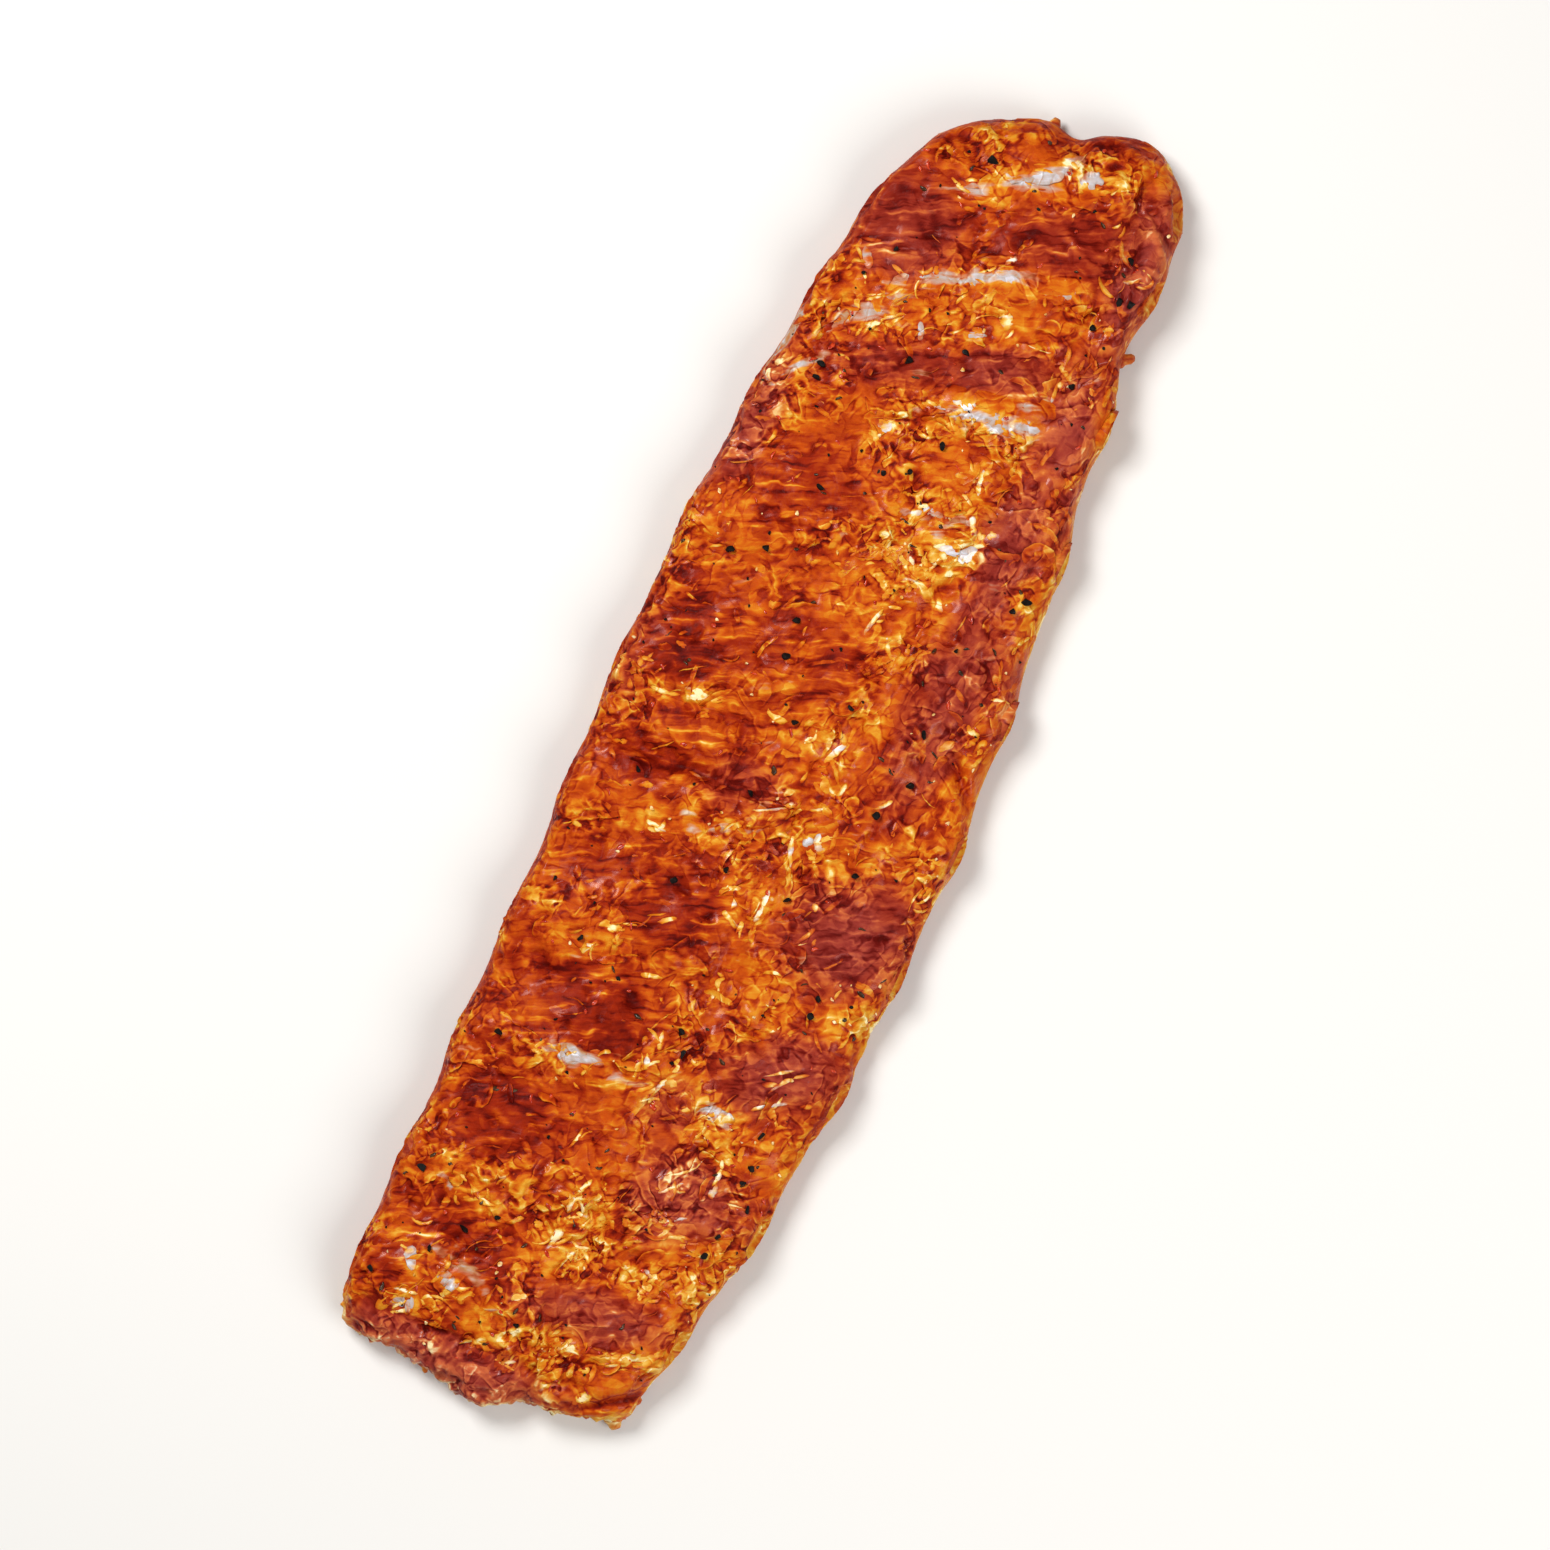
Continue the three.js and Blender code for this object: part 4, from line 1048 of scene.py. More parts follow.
def laid_strips(top, starts, headings, kind, rng):
    """Strips of one kind that lie on the meat round their starts. They bend, roll over and lift at one end. Gives
    their points and faces, which of them found the meat, and each point's painted light: lighter along their tops and
    upper edges and darker underneath."""
    count, rings = len(starts), kind.rings
    lengths, widths, depths = (MM * rng.uniform(*span, (count, 1)) for span in (kind.length, kind.width, kind.depth))
    s = np.linspace(0, 1, rings)
    heading = headings[:, None] + kind.bend * rng.normal(size=(count, 1)) * (s - 0.5)
    heading += kind.kink * rng.normal(size=(count, rings))
    roll = kind.roll * rng.normal(size=(count, 1)) + kind.twist * rng.normal(size=(count, 1)) * (s - 0.5)
    lift = MM * kind.lift * rng.normal(size=(count, 1)) + MM * kind.curl * rng.random((count, 1)) ** 2 * s**2
    ragged = rng.uniform(1 - kind.ragged, 1 + kind.ragged, (count, rings))
    ragged = (ragged + np.roll(ragged, 1, 1)) / 2

    ways = np.stack([np.cos(heading), np.sin(heading)], axis=2)
    walk = np.cumsum(ways * lengths[..., None] / (rings - 1), axis=1)
    xy = starts[:, None] + walk - walk.mean(axis=1, keepdims=True)
    places, normals = (found.reshape(count, rings, 3) for found in top.under(xy.reshape(-1, 2)))
    height = places[..., 2].copy()
    whole = np.isfinite(height).all(axis=1) & (np.ptp(np.nan_to_num(height), axis=1) < 0.8 * lengths[:, 0])
    level = height
    for _ in range(2):
        level = (level + np.roll(level, 1, 1) + np.roll(level, -1, 1)) / 3
        level[:, [0, -1]] = height[:, [0, -1]]
    places[..., 2] = np.maximum(level, height - 0.3 * depths) + lift - kind.sink * depths
    across = np.stack([-ways[..., 1], ways[..., 0], 0 * heading], axis=2)
    ups = normals * np.cos(roll)[..., None] + across * np.sin(roll)[..., None]
    skewed = s ** rng.uniform(0.55, 1.7, (count, 1))
    taper = np.sqrt(np.clip(1 - np.abs(2 * skewed - 1) ** kind.bluntness, 0.03, 1))
    widths, depths = widths * taper * ragged, depths * np.sqrt(taper)
    points, faces = sweep(places[whole], ups[whole], widths[whole], depths[whole], kind.sides)
    fade, facing = (taper**2)[whole][..., None], upward(kind.sides)
    # Painted light: lighter on top and along the upper edges and darker underneath, by which way each side faces.
    lighter = (kind.painted_top_light * facing * fade + kind.edge * fade * bump(facing - 0.35, 0.28)).ravel()
    lighter *= 1 + 0.45 * noise(points, 2.2 * MM, 94)
    return points, faces, whole, lighter


# Properties -----------------------------------------------------------------------------------------------------

def length(name, default_mm, about):
    """A size of the rack, given in millimetres."""
    return FloatProperty(name=name, description=about, default=default_mm * MM, min=0, unit="LENGTH", precision=4)


def linear(red, green, blue):
    """An sRGB colour from 0 to 255 as scene-linear values."""
    shares = (red / 255, green / 255, blue / 255)
    return tuple(c / 12.92 if c <= 0.04045 else ((c + 0.055) / 1.055) ** 2.4 for c in shares)


def colour(name, srgb, about):
    """A colour, given as sRGB from 0 to 255."""
    return FloatVectorProperty(name=name, description=about, default=linear(*srgb), subtype="COLOR", min=0, max=1)


def number(name, default, about):
    """How many there are of something."""
    return IntProperty(name=name, description=about, default=default, min=0)


class RackForm(PropertyGroup):
    """Sizes of the slab and its bones"""

    thickness: length("Thickness", 15.4, "Height of the slab between two ribs, at its middle")
    camber: length("Camber", 2, "How much lower the slab is towards its long edges")
    ridge_height: length("Rib ridges", 2.6, "Height of the ridge over a rib")
    seam_depth: length("Seam depth", 1.7, "Depth of the seam between the ribs and the flap")
    flap_rise: length("Flap rise", 1.4, "How far the flap rolls up beside the seam")
    bone_width: length("Bone width", 11, "Width of a rib bone at its right end")
    bone_depth: length("Bone depth", 7.6, "Height of a rib bone at its right end")
    crag_height: length("Crags", 0.9, "Height of the large unevenness")
    wave_height: length("Waves", 0.7, "Height of the long folds along the grain")
    fold_height: length("Folds", 0.7, "Height of the small folds along the grain")
    flake_height: length("Flakes", 0.5, "Height of the large flakes")
    pit_depth: length("Pits", 1.1, "Depth of the pits between flakes")
    fibre_height: length("Fibres", 0.16, "Height of the fibres in the lean meat")
    ragged_end: length("Ragged end", 1.6, "How far the fibres of the cut thick end stand out")


class RackColours(PropertyGroup):
    """Colours of the marinated meat, from the darkest crevice to the palest fat"""

    crevice: colour("Crevice", (74, 7, 3), "Deepest shade between flakes")
    lean: colour("Lean", (98, 12, 3), "Dark lean meat")
    red: colour("Red marinade", (144, 34, 6), "Marinade over lean meat")
    orange: colour("Orange marinade", (185, 73, 10), "Marinade where it lies thick")
    amber: colour("Amber", (202, 111, 19), "Marinade over fat")
    gold: colour("Gold", (212, 147, 40), "Oily marinade over fat")
    fat: colour("Fat", (224, 179, 84), "Fat with little marinade on it")
    pale_fat: colour("Pale fat", (242, 222, 168), "Bare fat and gristle")
    purple_dark: colour("Dark purple lean", (99, 18, 14), "Shaded lean meat with little marinade")
    purple: colour("Purple lean", (143, 50, 40), "Lean meat with little marinade")
    purple_light: colour("Light purple lean", (198, 98, 60), "Fibres of lean meat with little marinade")
    # The silverskin's colours are partly lit and shaded copies: its shaded colour is painted shade in its hollows,
    # and its light colour a painted highlight where it stands out.
    silver_dark: colour("Shaded silverskin", (178, 128, 84), "Silverskin in its hollows")
    silver: colour("Silverskin", (178, 164, 158), "Bare bone and silverskin")
    silver_light: colour("Light silverskin", (206, 202, 208), "Silverskin where it stands out")
    silver_glint: colour("Bright silverskin", (246, 242, 238), "Silverskin and fat at their palest")
    pepper: colour("Pepper", (5, 4, 4), "Cracked black pepper")
    pepper_core: colour("Pepper core", (22, 16, 12), "Broken faces of the pepper")
    herb: colour("Herb", (34, 20, 8), "Dried herb flakes")
    herb_light: colour("Light herb", (78, 44, 14), "Thin herb flakes")
    chilli: colour("Chilli", (150, 24, 12), "Chilli flakes")
    chilli_light: colour("Light chilli", (205, 66, 20), "Thin chilli flakes")


class RackToppings(PropertyGroup):
    """How many small things lie on the meat"""

    fat_folds: number("Fat folds", 230, "Large soft folds of fat under marinade")
    fat_leaves: number("Fat leaves", 170, "Thin leaves of fat with pale edges")
    fat_flakes: number("Fat flakes", 260, "Short flakes of fat under marinade")
    lean_flakes: number("Lean flakes", 150, "Short flakes of lean meat")
    curls: number("Pale curls", 110, "Long pale curls of fat")
    fibres: number("Meat fibres", 110, "Thin fibres of meat")
    herbs: number("Herb flakes", 90, "Dried herb flakes")
    chilli: number("Chilli flakes", 160, "Chilli flakes")
    crumbs: number("Garlic crumbs", 90, "Pale crumbs of garlic")
    grit: number("Pepper grit", 150, "Small grains of pepper beside the large ones")


class RackStudio(PropertyGroup):
    """The floor, the light and the camera"""

    floor: colour("Floor", (226, 224, 220), "The pale floor")
    camera_height: FloatProperty(name="Camera height", default=1.4, unit="LENGTH",
                                 description="Height of the camera above the floor")
    view_width: FloatProperty(name="View width", default=0.3913, unit="LENGTH",
                              description="Width of the view at the rack")
    camera_turn: FloatProperty(name="Camera turn", default=math.radians(25.08), subtype="ANGLE",
                               description="How far the camera is turned about its own axis")
    key_power: FloatProperty(name="Key light", default=8.6, unit="POWER", description="Power of the key light")
    fill_power: FloatProperty(name="Fill light", default=6.8, unit="POWER", description="Power of the fill light")
    sky: FloatProperty(name="Sky", default=0.28, description="Strength of the light from all round")


# Operators ------------------------------------------------------------------------------------------------------

class RACK_OT_meat(Operator):
    """Make the slab of marinated meat, with its ridges, seam, muscles, folds and flaky surface"""

    bl_idname = "rack.meat"
    bl_label = "Marinated meat"

    def execute(self, context):
        form = context.scene.rack_form
        points, face_sets, top_count = slab_mesh(form)
        mesh = mesh_of("marinated_meat", points, face_sets)
        normals = np.zeros(points.size)
        mesh.vertex_normals.foreach_get("vector", normals)
        normals = normals.reshape(-1, 3)

        # The relief fades out down the sides, and fibres stand out of the cut thick end.
        tone, purple, silver, lean = surface_marks(points)
        lift, change = meat_relief(form, points, lean)
        steep = 1 - ease(normals[:, 2] / 0.75)
        lift *= ease(points[:, 2] / (5 * MM)) * (1 - 0.6 * steep)
        cut_end = steep * ease((-points[:, 1] / MM - 160) / 8) * ease(points[:, 2] / (3 * MM))
        ragged = noise(points, (3 * MM, 6 * MM, 2.5 * MM), 28) + 0.6 * noise(points, (1.6 * MM, 4 * MM, 1.5 * MM), 29)
        lift += form.ragged_end * cut_end * ragged
        points = points + normals * lift[:, None] + bone_hollows(form, points, top_count)
        points[:, 2] = np.maximum(points[:, 2], 0)
        mesh.vertices.foreach_set("co", (points + frame_shift(form)).astype(np.float32).ravel())
        mesh.update()

        # The sides are plain meat, a little paler low down. Painted light on the sides: those that face right are
        # paler and those that face left darker, with a painted highlight along the top of the right edge; the paler
        # sides show less purple.
        side = 1 - ease((points[:, 2] - 4 * MM) / (7 * MM))
        rim = steep * np.clip(normals[:, 0], -0.7, 1) * ease((points[:, 2] - 3 * MM) / (4 * MM))
        rim_highlight = steep * np.maximum(normals[:, 0], 0) * bump(points[:, 2] - 8 * MM, 1.9 * MM)
        tone = tone + change * (1 - 0.5 * silver) + 0.02 * side + 0.11 * rim + 0.17 * rim_highlight + 0.08 * silver
        tone += cut_end * (0.18 + 0.12 * ragged)
        calm = np.clip(lean - 0.85 * purple, 0, 1)
        marks = marks_of(
            tone, purple=purple * (1 - 0.7 * np.maximum(rim, 0)), silver=silver * (1 - side),
            broken=(1 - 0.8 * calm) * (0.52 + 0.55 * crowding(points)), flap=grain_shares(points)[0],
        )
        material = meaty_material(context, "marinated meat", 0.5 * MM, smooth=0.25, rough=0.6)
        add_piece(context, mesh, material, marks, ["meat"])
        return {"FINISHED"}


# A bone's steps along and round, and the rings in its cut ends as shares of its size.
BONE_STEPS, BONE_SIDES = 48, 28
CAP_SIZES = (0.15, 0.45, 0.72, 0.9)


def bone_mesh(form, rib):
    """A bone's points and faces, which points are on its side, and how much each is marrow."""
    middles, half = bone_sections(form, rib, BONE_STEPS)
    caps, steps = len(CAP_SIZES), len(middles)
    sizes = np.concatenate([CAP_SIZES, np.ones(steps), CAP_SIZES[::-1]])
    stations = np.concatenate([np.zeros(caps, int), np.arange(steps), np.full(caps, steps - 1)])
    angle = 2 * math.pi * np.arange(BONE_SIDES) / BONE_SIDES
    size = half[stations] * sizes[:, None]
    ring = np.zeros((len(stations), BONE_SIDES, 3))
    ring[..., 1] = size[:, None, 0] * np.cos(angle)
    ring[..., 2] = size[:, None, 1] * np.sin(angle)
    points = (middles[stations][:, None] + ring).reshape(-1, 3)
    index = np.arange(len(points)).reshape(len(stations), BONE_SIDES)
    near, far = index[:-1], index[1:]
    quads = np.stack([near, np.roll(near, -1, 1), np.roll(far, -1, 1), far], axis=-1).reshape(-1, 4)
    ends = np.stack([index[0, ::-1], index[-1]])
    side = np.repeat(np.concatenate([np.zeros(caps), np.ones(steps), np.zeros(caps)]), BONE_SIDES)
    marrow = np.repeat(1 - ease((sizes - 0.5) / 0.3), BONE_SIDES)
    return points, [quads, ends], side, marrow


class RACK_OT_bones(Operator):
    """Make the ten rib bones, with marrow in their cut ends"""

    bl_idname = "rack.bones"
    bl_label = "Rib bones"

    def execute(self, context):
        form = context.scene.rack_form
        shift = frame_shift(form)
        material = meaty_material(context, "rib bone", 0.15 * MM, rough=0.45, glow=0.1)
        for rib in range(len(RIBS)):
            points, face_sets, side, marrow = bone_mesh(form, rib)
            points[:, 2] += side * 0.25 * MM * noise(points, (7 * MM, 3 * MM, 3 * MM), 60 + rib)
            mesh = mesh_of(f"bone_{rib + 1:02d}", points + shift, face_sets)
            stain = noise(points, (7 * MM, 2 * MM, 2 * MM), 80 + rib)
            tone, _, silver, _ = surface_marks(points)
            cut = ease((np.abs(points[:, 0]) / MM - 38) / 4)
            silver = np.maximum(silver, (0.5 + 0.4 * stain) * cut * (1 - side))
            marks = marks_of(
                tone + 0.1 * stain - 0.14 * marrow, purple=np.maximum(marrow, 0.6 * cut), silver=silver - marrow,
                broken=0.6,
            )
            add_piece(context, mesh, material, marks, [f"rib_{rib + 1:02d}"])
        return {"FINISHED"}


class Strip(NamedTuple):
    """One kind of flat scrap. Lengths are in millimetres, and the spans run from the least to the most."""

    length: tuple
    width: tuple
    depth: tuple
    rings: int = 10
    sides: int = 8
    stray: float = 1  # how far it turns from the grain, in radians
    bend: float = 1  # how far it turns between its ends, in radians
    kink: float = 0.05  # how unevenly it bends
    roll: float = 0.3  # how far it leans over, in radians
    twist: float = 0.7  # how far it rolls over between its ends, in radians
    lift: float = 0.05  # how far it stands off the meat
    curl: float = 0.4  # how far its last end curls up
    sink: float = 0.4  # how deep it lies in the meat, as a share of its depth
    ragged: float = 0.2  # how uneven its width is, as a share
    bluntness: float = 2  # how blunt its ends are: 2 is an oval
    tone: float = -0.1  # how much lighter than the meat under it
    tone_spread: float = 0.07  # how much that differs from one to the next
    painted_top_light: float = 0.3  # painted light: how much lighter along its top, and darker underneath
    edge: float = 0  # painted highlight: how much lighter along its upper edges


# The strips' lighter tops, darker undersides and pale upper edges are painted light; the pale curls, strokes and fat
# leaves owe much of their paleness to it.
FAT_FOLD = Strip(
    (4, 10), (1.6, 3.6), (0.9, 1.5), rings=11, kink=0.06, curl=0.5, sink=0.5, tone=-0.07, painted_top_light=0.24,
)
FAT_LEAF = Strip(
    (4, 11), (2, 4.2), (0.7, 1.2), rings=13, sides=12, bend=1.2, roll=0.35, curl=0.6, sink=0.45, ragged=0.15,
    bluntness=1.9, tone=-0.12, tone_spread=0.06, painted_top_light=0.1, edge=0.3,
)
FAT_FLAKE = Strip(
    (2.5, 7), (0.9, 2.2), (0.4, 0.8), stray=1.1, bend=1.3, kink=0.04, roll=0.35, ragged=0.18, bluntness=1.8,
    painted_top_light=0.32,
)
LEAN_FLAKE = Strip(
    (3, 9), (0.8, 2), (0.4, 0.7), stray=0.6, bend=0.6, twist=0.6, sink=0.45, ragged=0.25, bluntness=1.9, tone=-0.06,
    tone_spread=0.06, painted_top_light=0.16,
)
PALE_CURL = Strip(
    (3, 8), (0.9, 1.9), (0.5, 0.9), rings=14, stray=0.5, bend=1.2, kink=0.03, roll=0.4, twist=0.8, ragged=0.15,
    tone=-0.12, tone_spread=0.08, painted_top_light=0.46,
)
FIBRE = Strip(
    (3, 9), (0.3, 0.7), (0.25, 0.4), rings=7, sides=4, stray=0.35, kink=0.1, roll=0.5, twist=1, lift=0.08, curl=0.6,
    sink=0, bluntness=3, tone=0.03, tone_spread=0.1, painted_top_light=0.05,
)
SPICE_FLAKE = Strip(
    (1, 2.6), (0.6, 1.5), (0.2, 0.4), rings=5, sides=6, stray=3, bend=0.5, kink=0.2, roll=0.4, twist=0.5, lift=0.15,
    curl=0.7, sink=0, ragged=0.25, bluntness=2.6, tone=0, tone_spread=0, painted_top_light=0,
)
# A stroke's and a sliver's length and width are shares of those in their list.
STROKE = Strip(
    (1.2, 1.2), (1.35, 1.35), (0.7, 1.1), rings=14, stray=0, bend=0.7, kink=0.02, twist=0.5, curl=0.25, sink=0.35,
    ragged=0.25, bluntness=2.2, tone=-0.12, tone_spread=0.04, painted_top_light=0.48,
)
SLIVER = Strip(
    (1, 1), (1.5, 1.5), (0.7, 1), rings=16, stray=0, bend=0.4, kink=0, roll=0.15, twist=0.3, curl=0.2, sink=0.25,
    ragged=0.1, bluntness=3.2, tone=-0.07, tone_spread=0.03, painted_top_light=0.16,
)
# What is laid as the lists give it: its name, list, kind, how silvery it is and how mottled.
LISTED = (("pale_strokes", STROKES, STROKE, 0.35, 0.09), ("silver_slivers", SLIVERS, SLIVER, 0.7, 0.16))
# Edges of a scrap that turn further than this stay sharp.
SHARP_ANGLE = math.radians(50)
# How much further round than the grain scraps lie over the ribs, and what the seam adds, in degrees.
SCRAP_TURN, SEAM_TURN = 12, 50
# How much painted shade darkens the meat round scraps, where they meet it, and how far from them.
CONTACT_SHADE = 0.12
CONTACT_SHADE_REACH = 0.7 * MM


class RACK_OT_shreds(Operator):
    """Lay flakes, pale curls and meat fibres on the meat"""

    bl_idname = "rack.shreds"
    bl_label = "Flakes, curls and fibres"

    def execute(self, context):
        count = context.scene.rack_toppings
        # How likely each kind lies at a place, by how lean and how fat it is and how near a pale stroke.
        scattered = (
            ("fat_folds", count.fat_folds, FAT_FOLD, lambda lean, fat, near: 0.25 + 0.5 * fat - 0.2 * lean),
            ("fat_leaves", count.fat_leaves, FAT_LEAF, lambda lean, fat, near: 0.35 + 0.3 * fat - 0.15 * lean),
            ("fat_flakes", count.fat_flakes, FAT_FLAKE,
             lambda lean, fat, near: 0.15 + 0.4 * fat - 0.15 * lean + 0.4 * near),
            ("lean_flakes", count.lean_flakes, LEAN_FLAKE, lambda lean, fat, near: 0.6 - 0.1 * lean - 0.2 * fat),
            ("pale_curls", count.curls, PALE_CURL, lambda lean, fat, near: 0.02 + 0.25 * fat + 0.4 * near),
            ("meat_fibres", count.fibres, FIBRE, lambda lean, fat, near: 0.35 + 0.3 * lean),
        )
        top = Top(context)
        rng = np.random.default_rng(21)
        laid = [self.scatter(context, top, rng, *each) for each in scattered]
        for name, listed, kind, silver, mottle in LISTED:
            x, y, lengths, widths, turns = np.array(listed).T
            lengths, widths = kind.length[0] * lengths[:, None], kind.width[0] * widths[:, None]
            kind = kind._replace(length=(lengths, lengths), width=(widths, widths))
            starts = MM * np.stack([x, y], axis=1)
            laid.append(self.lay(context, top, rng, name, starts, np.radians(turns), kind, silver, mottle))
        self.paint_shade_round(np.concatenate(laid))
        return {"FINISHED"}

    def scatter(self, context, top, rng, name, count, kind, chance):
        """Lays as many scraps of one kind as asked for, along the grain, where they are likely."""
        def kept(xy):
            x, y = xy.T
            near = stroke_glow(flat_points(xy))
            crowded = np.maximum(0.3 + 0.7 * crowding(flat_points(xy)), near)
            return crowded * chance(patches(x, y, LEAN), patches(x, y, FAT), near)

        xy = spread(rng, count, kept, margin=0.03)
        flap, muscle = grain_shares(flat_points(xy))
        grain = RIB_GRAIN + (MUSCLE_GRAIN - RIB_GRAIN) * muscle + (FLAP_GRAIN - RIB_GRAIN) * flap
        by_seam = bump(from_seam(xy[:, 0], xy[:, 1]), 6 * MM)
        grain += SCRAP_TURN * (1 - flap) + SEAM_TURN * by_seam * (1 - flap)
        heading = np.radians(grain) + kind.stray * rng.normal(size=count) + math.pi * rng.integers(0, 2, count)
        return self.lay(context, top, rng, name, xy, heading, kind)

    @staticmethod
    def lay(context, top, rng, name, xy, heading, kind, silver=0, mottle=0.09):
        """Makes one piece of the scraps of one kind. Gives its points."""
        points, faces, whole, lighter = laid_strips(top, xy, heading, kind, rng)
        xy = xy[whole]
        each = kind.rings * kind.sides
        base, purple, _, _ = surface_marks(flat_points(xy))
        shade = base + kind.tone + kind.tone_spread * rng.normal(size=len(xy))
        shade = np.repeat(shade, each) + mottle * noise(points, 1.5 * MM, 90) + lighter
        film = silver * (1 + 0.7 * stretched(points, FIBRE_TURN, 5 * MM, 1.4 * MM, 96))
        marks = marks_of(np.clip(shade, 0.05, 1), purple=0.35 * np.repeat(purple, each), silver=film, broken=0.65)
        points = points + top.shift
        mesh = mesh_of(name, points, faces)
        mesh.set_sharp_from_angle(angle=SHARP_ANGLE)
        add_piece(context, mesh, meaty_material(context, name.replace("_", " "), 0.3 * MM), marks)
        return points

    @staticmethod
    def paint_shade_round(laid):
        """Paints shade on the meat close round everything that was laid."""
        tree = KDTree(len(laid))
        for index, point in enumerate(laid):
            tree.insert(point, index)
        tree.balance()
        meat = bpy.data.objects["marinated_meat"].data
        tone = np.zeros(len(meat.vertices))
        meat.attributes["tone"].data.foreach_get("value", tone)
        away = np.array([tree.find(vertex.co)[2] for vertex in meat.vertices])
        meat.attributes["tone"].data.foreach_set("value", tone - CONTACT_SHADE * bump(away, CONTACT_SHADE_REACH))


TATTER_RINGS, TATTER_SIDES = 12, 10
# How far a tatter reaches into the meat, in millimetres.
TATTER_ROOT = 4


class RACK_OT_tatters(Operator):
    """Hang the small tatters of meat on the edges"""

    bl_idname = "rack.tatters"
    bl_label = "Tatters at the edges"

    def execute(self, context):
        shift = frame_shift(context.scene.rack_form)
        rng = np.random.default_rng(45)
        x, y, turn, reach, radius, height = np.array(TATTERS).T[:, :, None]
        s = np.linspace(0, 1, TATTER_RINGS)
        way = np.radians(turn) + 0.25 * rng.normal(size=(len(x), 1)) * s
        out = (reach + TATTER_ROOT) * s - TATTER_ROOT
        sag = 0.4 * height * s**2
        paths = MM * np.stack([x + np.cos(way) * out, y + np.sin(way) * out, height - sag], axis=2)
        roll = 0.5 * rng.normal(size=(len(x), 1)) + 0 * s
        ups = np.stack([-np.sin(way) * np.sin(roll), np.cos(way) * np.sin(roll), np.cos(roll)], axis=2)
        taper = np.sqrt(1 - 0.9 * s**2.2) * rng.uniform(0.8, 1.2, (len(x), TATTER_RINGS))
        points, faces = sweep(paths, ups, 2.6 * MM * radius * taper, 1.2 * MM * radius * taper, TATTER_SIDES)
        tone = 0.42 + 0.12 * noise(points, (2 * MM, 2 * MM, 1 * MM), 92)
        tone += 0.12 * np.tile(np.repeat(s, TATTER_SIDES), len(x))
        # Painted highlight along each tatter's upper sides.
        tone += 0.2 * np.tile(bump(upward(TATTER_SIDES) - 0.3, 0.3), len(x) * TATTER_RINGS)
        mesh = mesh_of("edge_tatters", points + shift, faces)
        material = meaty_material(context, "edge tatters", 0.3 * MM)
        add_piece(context, mesh, material, marks_of(tone, purple=0.4, broken=0.5))
        return {"FINISHED"}


# The large pepper, in millimetres: its seeded draw, how many grains, their radii, how far from the slab's edges they
# lie as shares of its size, and how far from bare bone.
DRAW_START, DRAW_FACTOR, DRAW_RANGE = 11, 16807, 2147483647
PEPPER_COUNT = 54
PEPPER_RADII = (1.1, 1.9)
PEPPER_MARGINS = (0.08, 0.04)
PEPPER_CLEAR = 8
# The flat cuts that shape a crumb or grain, and the size of the ball they cut, as a share of its radius.
LUMP_CUTS, LUMP_SIZE = 9, 0.85


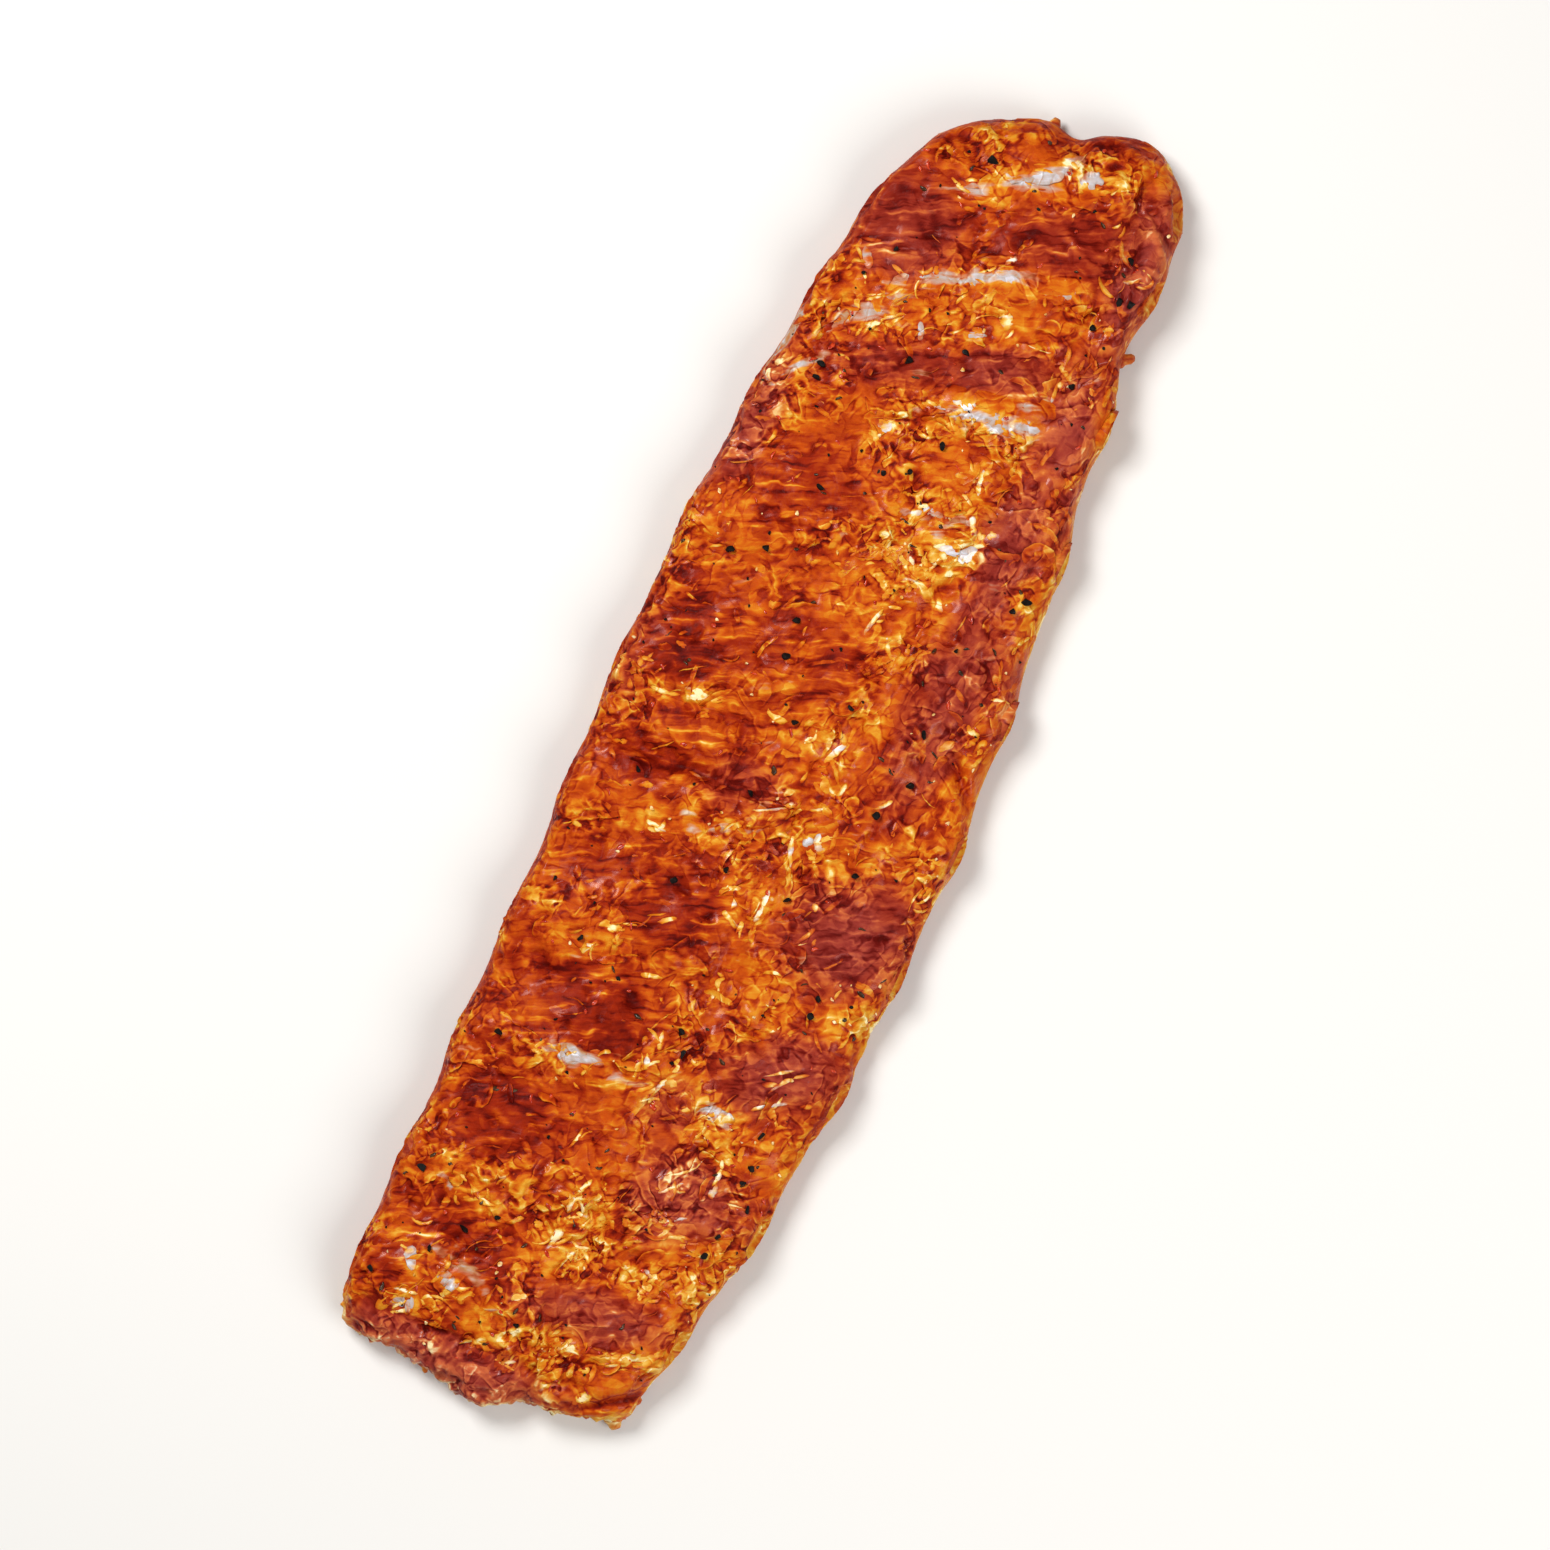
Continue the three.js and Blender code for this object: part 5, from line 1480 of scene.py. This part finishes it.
class RACK_OT_spices(Operator):
    """Press cracked pepper, herb and chilli flakes and garlic crumbs into the marinade"""

    bl_idname = "rack.spices"
    bl_label = "Pepper and spices"

    def execute(self, context):
        colours, count = context.scene.rack_colours, context.scene.rack_toppings
        top = Top(context)
        rng = np.random.default_rng(33)

        blacks = (colours.pepper, colours.pepper_core)
        pepper = plain_material("cracked pepper", blacks, 1400, roughness=0.7, coat=0.02)
        places, radii = pepper_places()
        grit = spread(rng, count.grit, even)
        radii = np.concatenate([radii, MM * rng.uniform(0.3, 0.8, len(grit))])
        self.lumps(context, top, rng, "cracked_pepper", np.concatenate([places, grit]), radii, pepper, lift=0.35)

        garlic = plain_material("garlic crumb", (colours.gold, colours.pale_fat), 900, roughness=0.35, coat=0.4)
        crumbs = spread(rng, count.crumbs, lambda xy: 0.2 + 0.6 * patches(xy[:, 0], xy[:, 1], FAT))
        radii = MM * rng.uniform(0.4, 1.0, len(crumbs))
        self.lumps(context, top, rng, "garlic_crumbs", crumbs, radii, garlic, lift=0.2)

        herbs, chillies = (colours.herb, colours.herb_light), (colours.chilli, colours.chilli_light)
        herb = plain_material("dried herb", herbs, 1200, roughness=0.5, coat=0.3)
        chilli = plain_material("chilli flake", chillies, 1200, roughness=0.35, coat=0.5)
        for name, flakes, material in (("herb_flakes", count.herbs, herb), ("chilli_flakes", count.chilli, chilli)):
            xy = spread(rng, flakes, even)
            points, faces, _, _ = laid_strips(top, xy, rng.uniform(0, 2 * math.pi, flakes), SPICE_FLAKE, rng)
            add_piece(context, mesh_of(name, points + top.shift, faces), material)
        return {"FINISHED"}

    @staticmethod
    def lumps(context, top, rng, name, xy, radii, material, lift):
        """Makes one piece of grains or crumbs: balls with flat cuts, their middles this share of a radius up."""
        ball = bmesh.new()
        bmesh.ops.create_icosphere(ball, subdivisions=2, radius=1)
        shape = np.array([v.co for v in ball.verts])
        faces = np.array([[v.index for v in face.verts] for face in ball.faces])
        ball.free()
        places, _ = top.under(xy)
        found = np.isfinite(places[:, 2])
        points = []
        for place, radius in zip(places[found], radii[found]):
            lump = shape.copy()
            for _ in range(LUMP_CUTS):
                way = rng.normal(size=3)
                way /= np.linalg.norm(way)
                beyond = np.maximum(lump @ way - rng.uniform(0.3, 0.7), 0)
                lump -= beyond[:, None] * way
            lump *= rng.uniform((0.85, 0.75, 0.6), (1.25, 1, 0.85))
            turn = np.array(Matrix.Rotation(rng.uniform(0, math.pi), 3, Vector(rng.normal(size=3))))
            points.append(lump @ turn.T * radius * LUMP_SIZE + place + [0, 0, lift * radius])
        faces = faces + len(shape) * np.arange(len(points))[:, None, None]
        mesh = mesh_of(name, np.concatenate(points) + top.shift, [faces.reshape(-1, 3)])
        mesh.shade_flat()
        add_piece(context, mesh, material)


def pepper_places():
    """Where the large pepper lies and how large it is, by the same seeded draw as the solids'."""
    state, places, radii = DRAW_START, [], []
    (least, most), (side, end) = PEPPER_RADII, PEPPER_MARGINS

    def draw():
        nonlocal state
        state = state * DRAW_FACTOR % DRAW_RANGE
        return state / DRAW_RANGE

    while len(places) < PEPPER_COUNT:
        u = side + (1 - 2 * side) * draw()
        v = end + (1 - 2 * end) * (len(places) + draw()) / PEPPER_COUNT
        radius = least + (most - least) * draw()
        # The solids' grains draw three more numbers, for their shape.
        draw(), draw(), draw()
        x, y = plan(np.array([u]), np.array([v]))[0]
        on_bone = any(
            first - PEPPER_CLEAR < x / MM < last + PEPPER_CLEAR and abs(y - rib_middle(rib, x)) < PEPPER_CLEAR * MM
            for rib, first, last in BARE_SPANS
        )
        if not on_bone:
            places.append((x, y))
            radii.append(radius * MM)
    return np.array(places), np.array(radii)


# The stage, in metres: the floor's reach, each light's place and size, the room's colour, the camera's place beside
# the rack's middle, and the height at which it sees the view's full width.
FLOOR_REACH = 3
KEY_LIGHT = (-0.5, 0.22, 0.82), 0.34
FILL_LIGHT = (0.7, -0.2, 0.75), 0.7
ROOM_COLOUR = (1, 0.98, 0.96, 1)
CAMERA_PLACE = (-1.12 * MM, -4.47 * MM)
VIEW_HEIGHT = 8 * MM
SENSOR_WIDTH = 36


class RACK_OT_stage(Operator):
    """Set up the pale floor, the soft lights and the camera straight above the rack"""

    bl_idname = "rack.stage"
    bl_label = "Floor, lights and camera"

    def execute(self, context):
        scene = context.scene
        studio = scene.rack_studio
        scene.view_settings.view_transform = "Standard"

        corners = FLOOR_REACH * np.array([[-1, -1, 0], [1, -1, 0], [1, 1, 0], [-1, 1, 0]])
        mesh = mesh_of("floor", corners, [np.array([[0, 1, 2, 3]])])
        colours = (studio.floor, studio.floor)
        mesh.materials.append(plain_material("floor", colours, 40, roughness=0.7, coat=0, relief=0.02 * MM))
        floor = bpy.data.objects.new("floor", mesh)
        scene.collection.objects.link(floor)

        scene.world = bpy.data.worlds.new("soft room")
        scene.world.use_nodes = True
        tree = scene.world.node_tree
        feed(tree, tree.nodes["Background"], {"Color": ROOM_COLOUR, "Strength": studio.sky})
        self.light(scene, "key light", *KEY_LIGHT, studio.key_power)
        self.light(scene, "fill light", *FILL_LIGHT, studio.fill_power)

        data = bpy.data.cameras.new("camera")
        data.sensor_width = SENSOR_WIDTH
        data.lens = SENSOR_WIDTH * (studio.camera_height - VIEW_HEIGHT) / studio.view_width
        camera = bpy.data.objects.new("camera", data)
        camera.location = (*CAMERA_PLACE, studio.camera_height)
        camera.rotation_euler = (0, 0, studio.camera_turn)
        scene.collection.objects.link(camera)
        scene.camera = camera
        return {"FINISHED"}

    @staticmethod
    def light(scene, name, place, size, power):
        """A soft square light that faces the rack."""
        data = bpy.data.lights.new(name, "AREA")
        data.size = size
        data.energy = power
        lamp = bpy.data.objects.new(name, data)
        lamp.location = place
        lamp.rotation_mode = "QUATERNION"
        lamp.rotation_quaternion = Vector(place).to_track_quat("Z", "Y")
        scene.collection.objects.link(lamp)


class RACK_PT_panel(Panel):
    """Sizes, colours and steps of the rack"""

    bl_idname = "RACK_PT_panel"
    bl_label = "Rack of ribs"
    bl_space_type = "VIEW_3D"
    bl_region_type = "UI"
    bl_category = "Ribs"

    def draw(self, context):
        """Lists the settings, and then a button for each step."""
        for label, group in (("Form", "rack_form"), ("Colours", "rack_colours"), ("Toppings", "rack_toppings"),
                             ("Studio", "rack_studio")):
            box = self.layout.box()
            box.label(text=label)
            settings = getattr(context.scene, group)
            for name in settings.bl_rna.properties.keys():
                if name not in {"rna_type", "name"}:
                    box.prop(settings, name)
        for step in STEPS:
            self.layout.operator(step.bl_idname)


STEPS = (RACK_OT_meat, RACK_OT_bones, RACK_OT_tatters, RACK_OT_shreds, RACK_OT_spices, RACK_OT_stage)
GROUPS = {
    "rack_form": RackForm, "rack_colours": RackColours, "rack_toppings": RackToppings, "rack_studio": RackStudio,
}


def register():
    """Makes the classes known, and gives every scene the rack's settings."""
    for cls in (*GROUPS.values(), *STEPS, RACK_PT_panel):
        bpy.utils.register_class(cls)
    for name, group in GROUPS.items():
        setattr(bpy.types.Scene, name, PointerProperty(type=group))


def unregister():
    """Takes the settings and the classes away again."""
    for name in GROUPS:
        delattr(bpy.types.Scene, name)
    for cls in reversed((*GROUPS.values(), *STEPS, RACK_PT_panel)):
        bpy.utils.unregister_class(cls)


def main():
    """Builds the rack and its stage."""
    register()
    bpy.ops.rack.meat()
    bpy.ops.rack.bones()
    bpy.ops.rack.tatters()
    bpy.ops.rack.shreds()
    bpy.ops.rack.spices()
    bpy.ops.rack.stage()


if __name__ == "__main__":
    main()
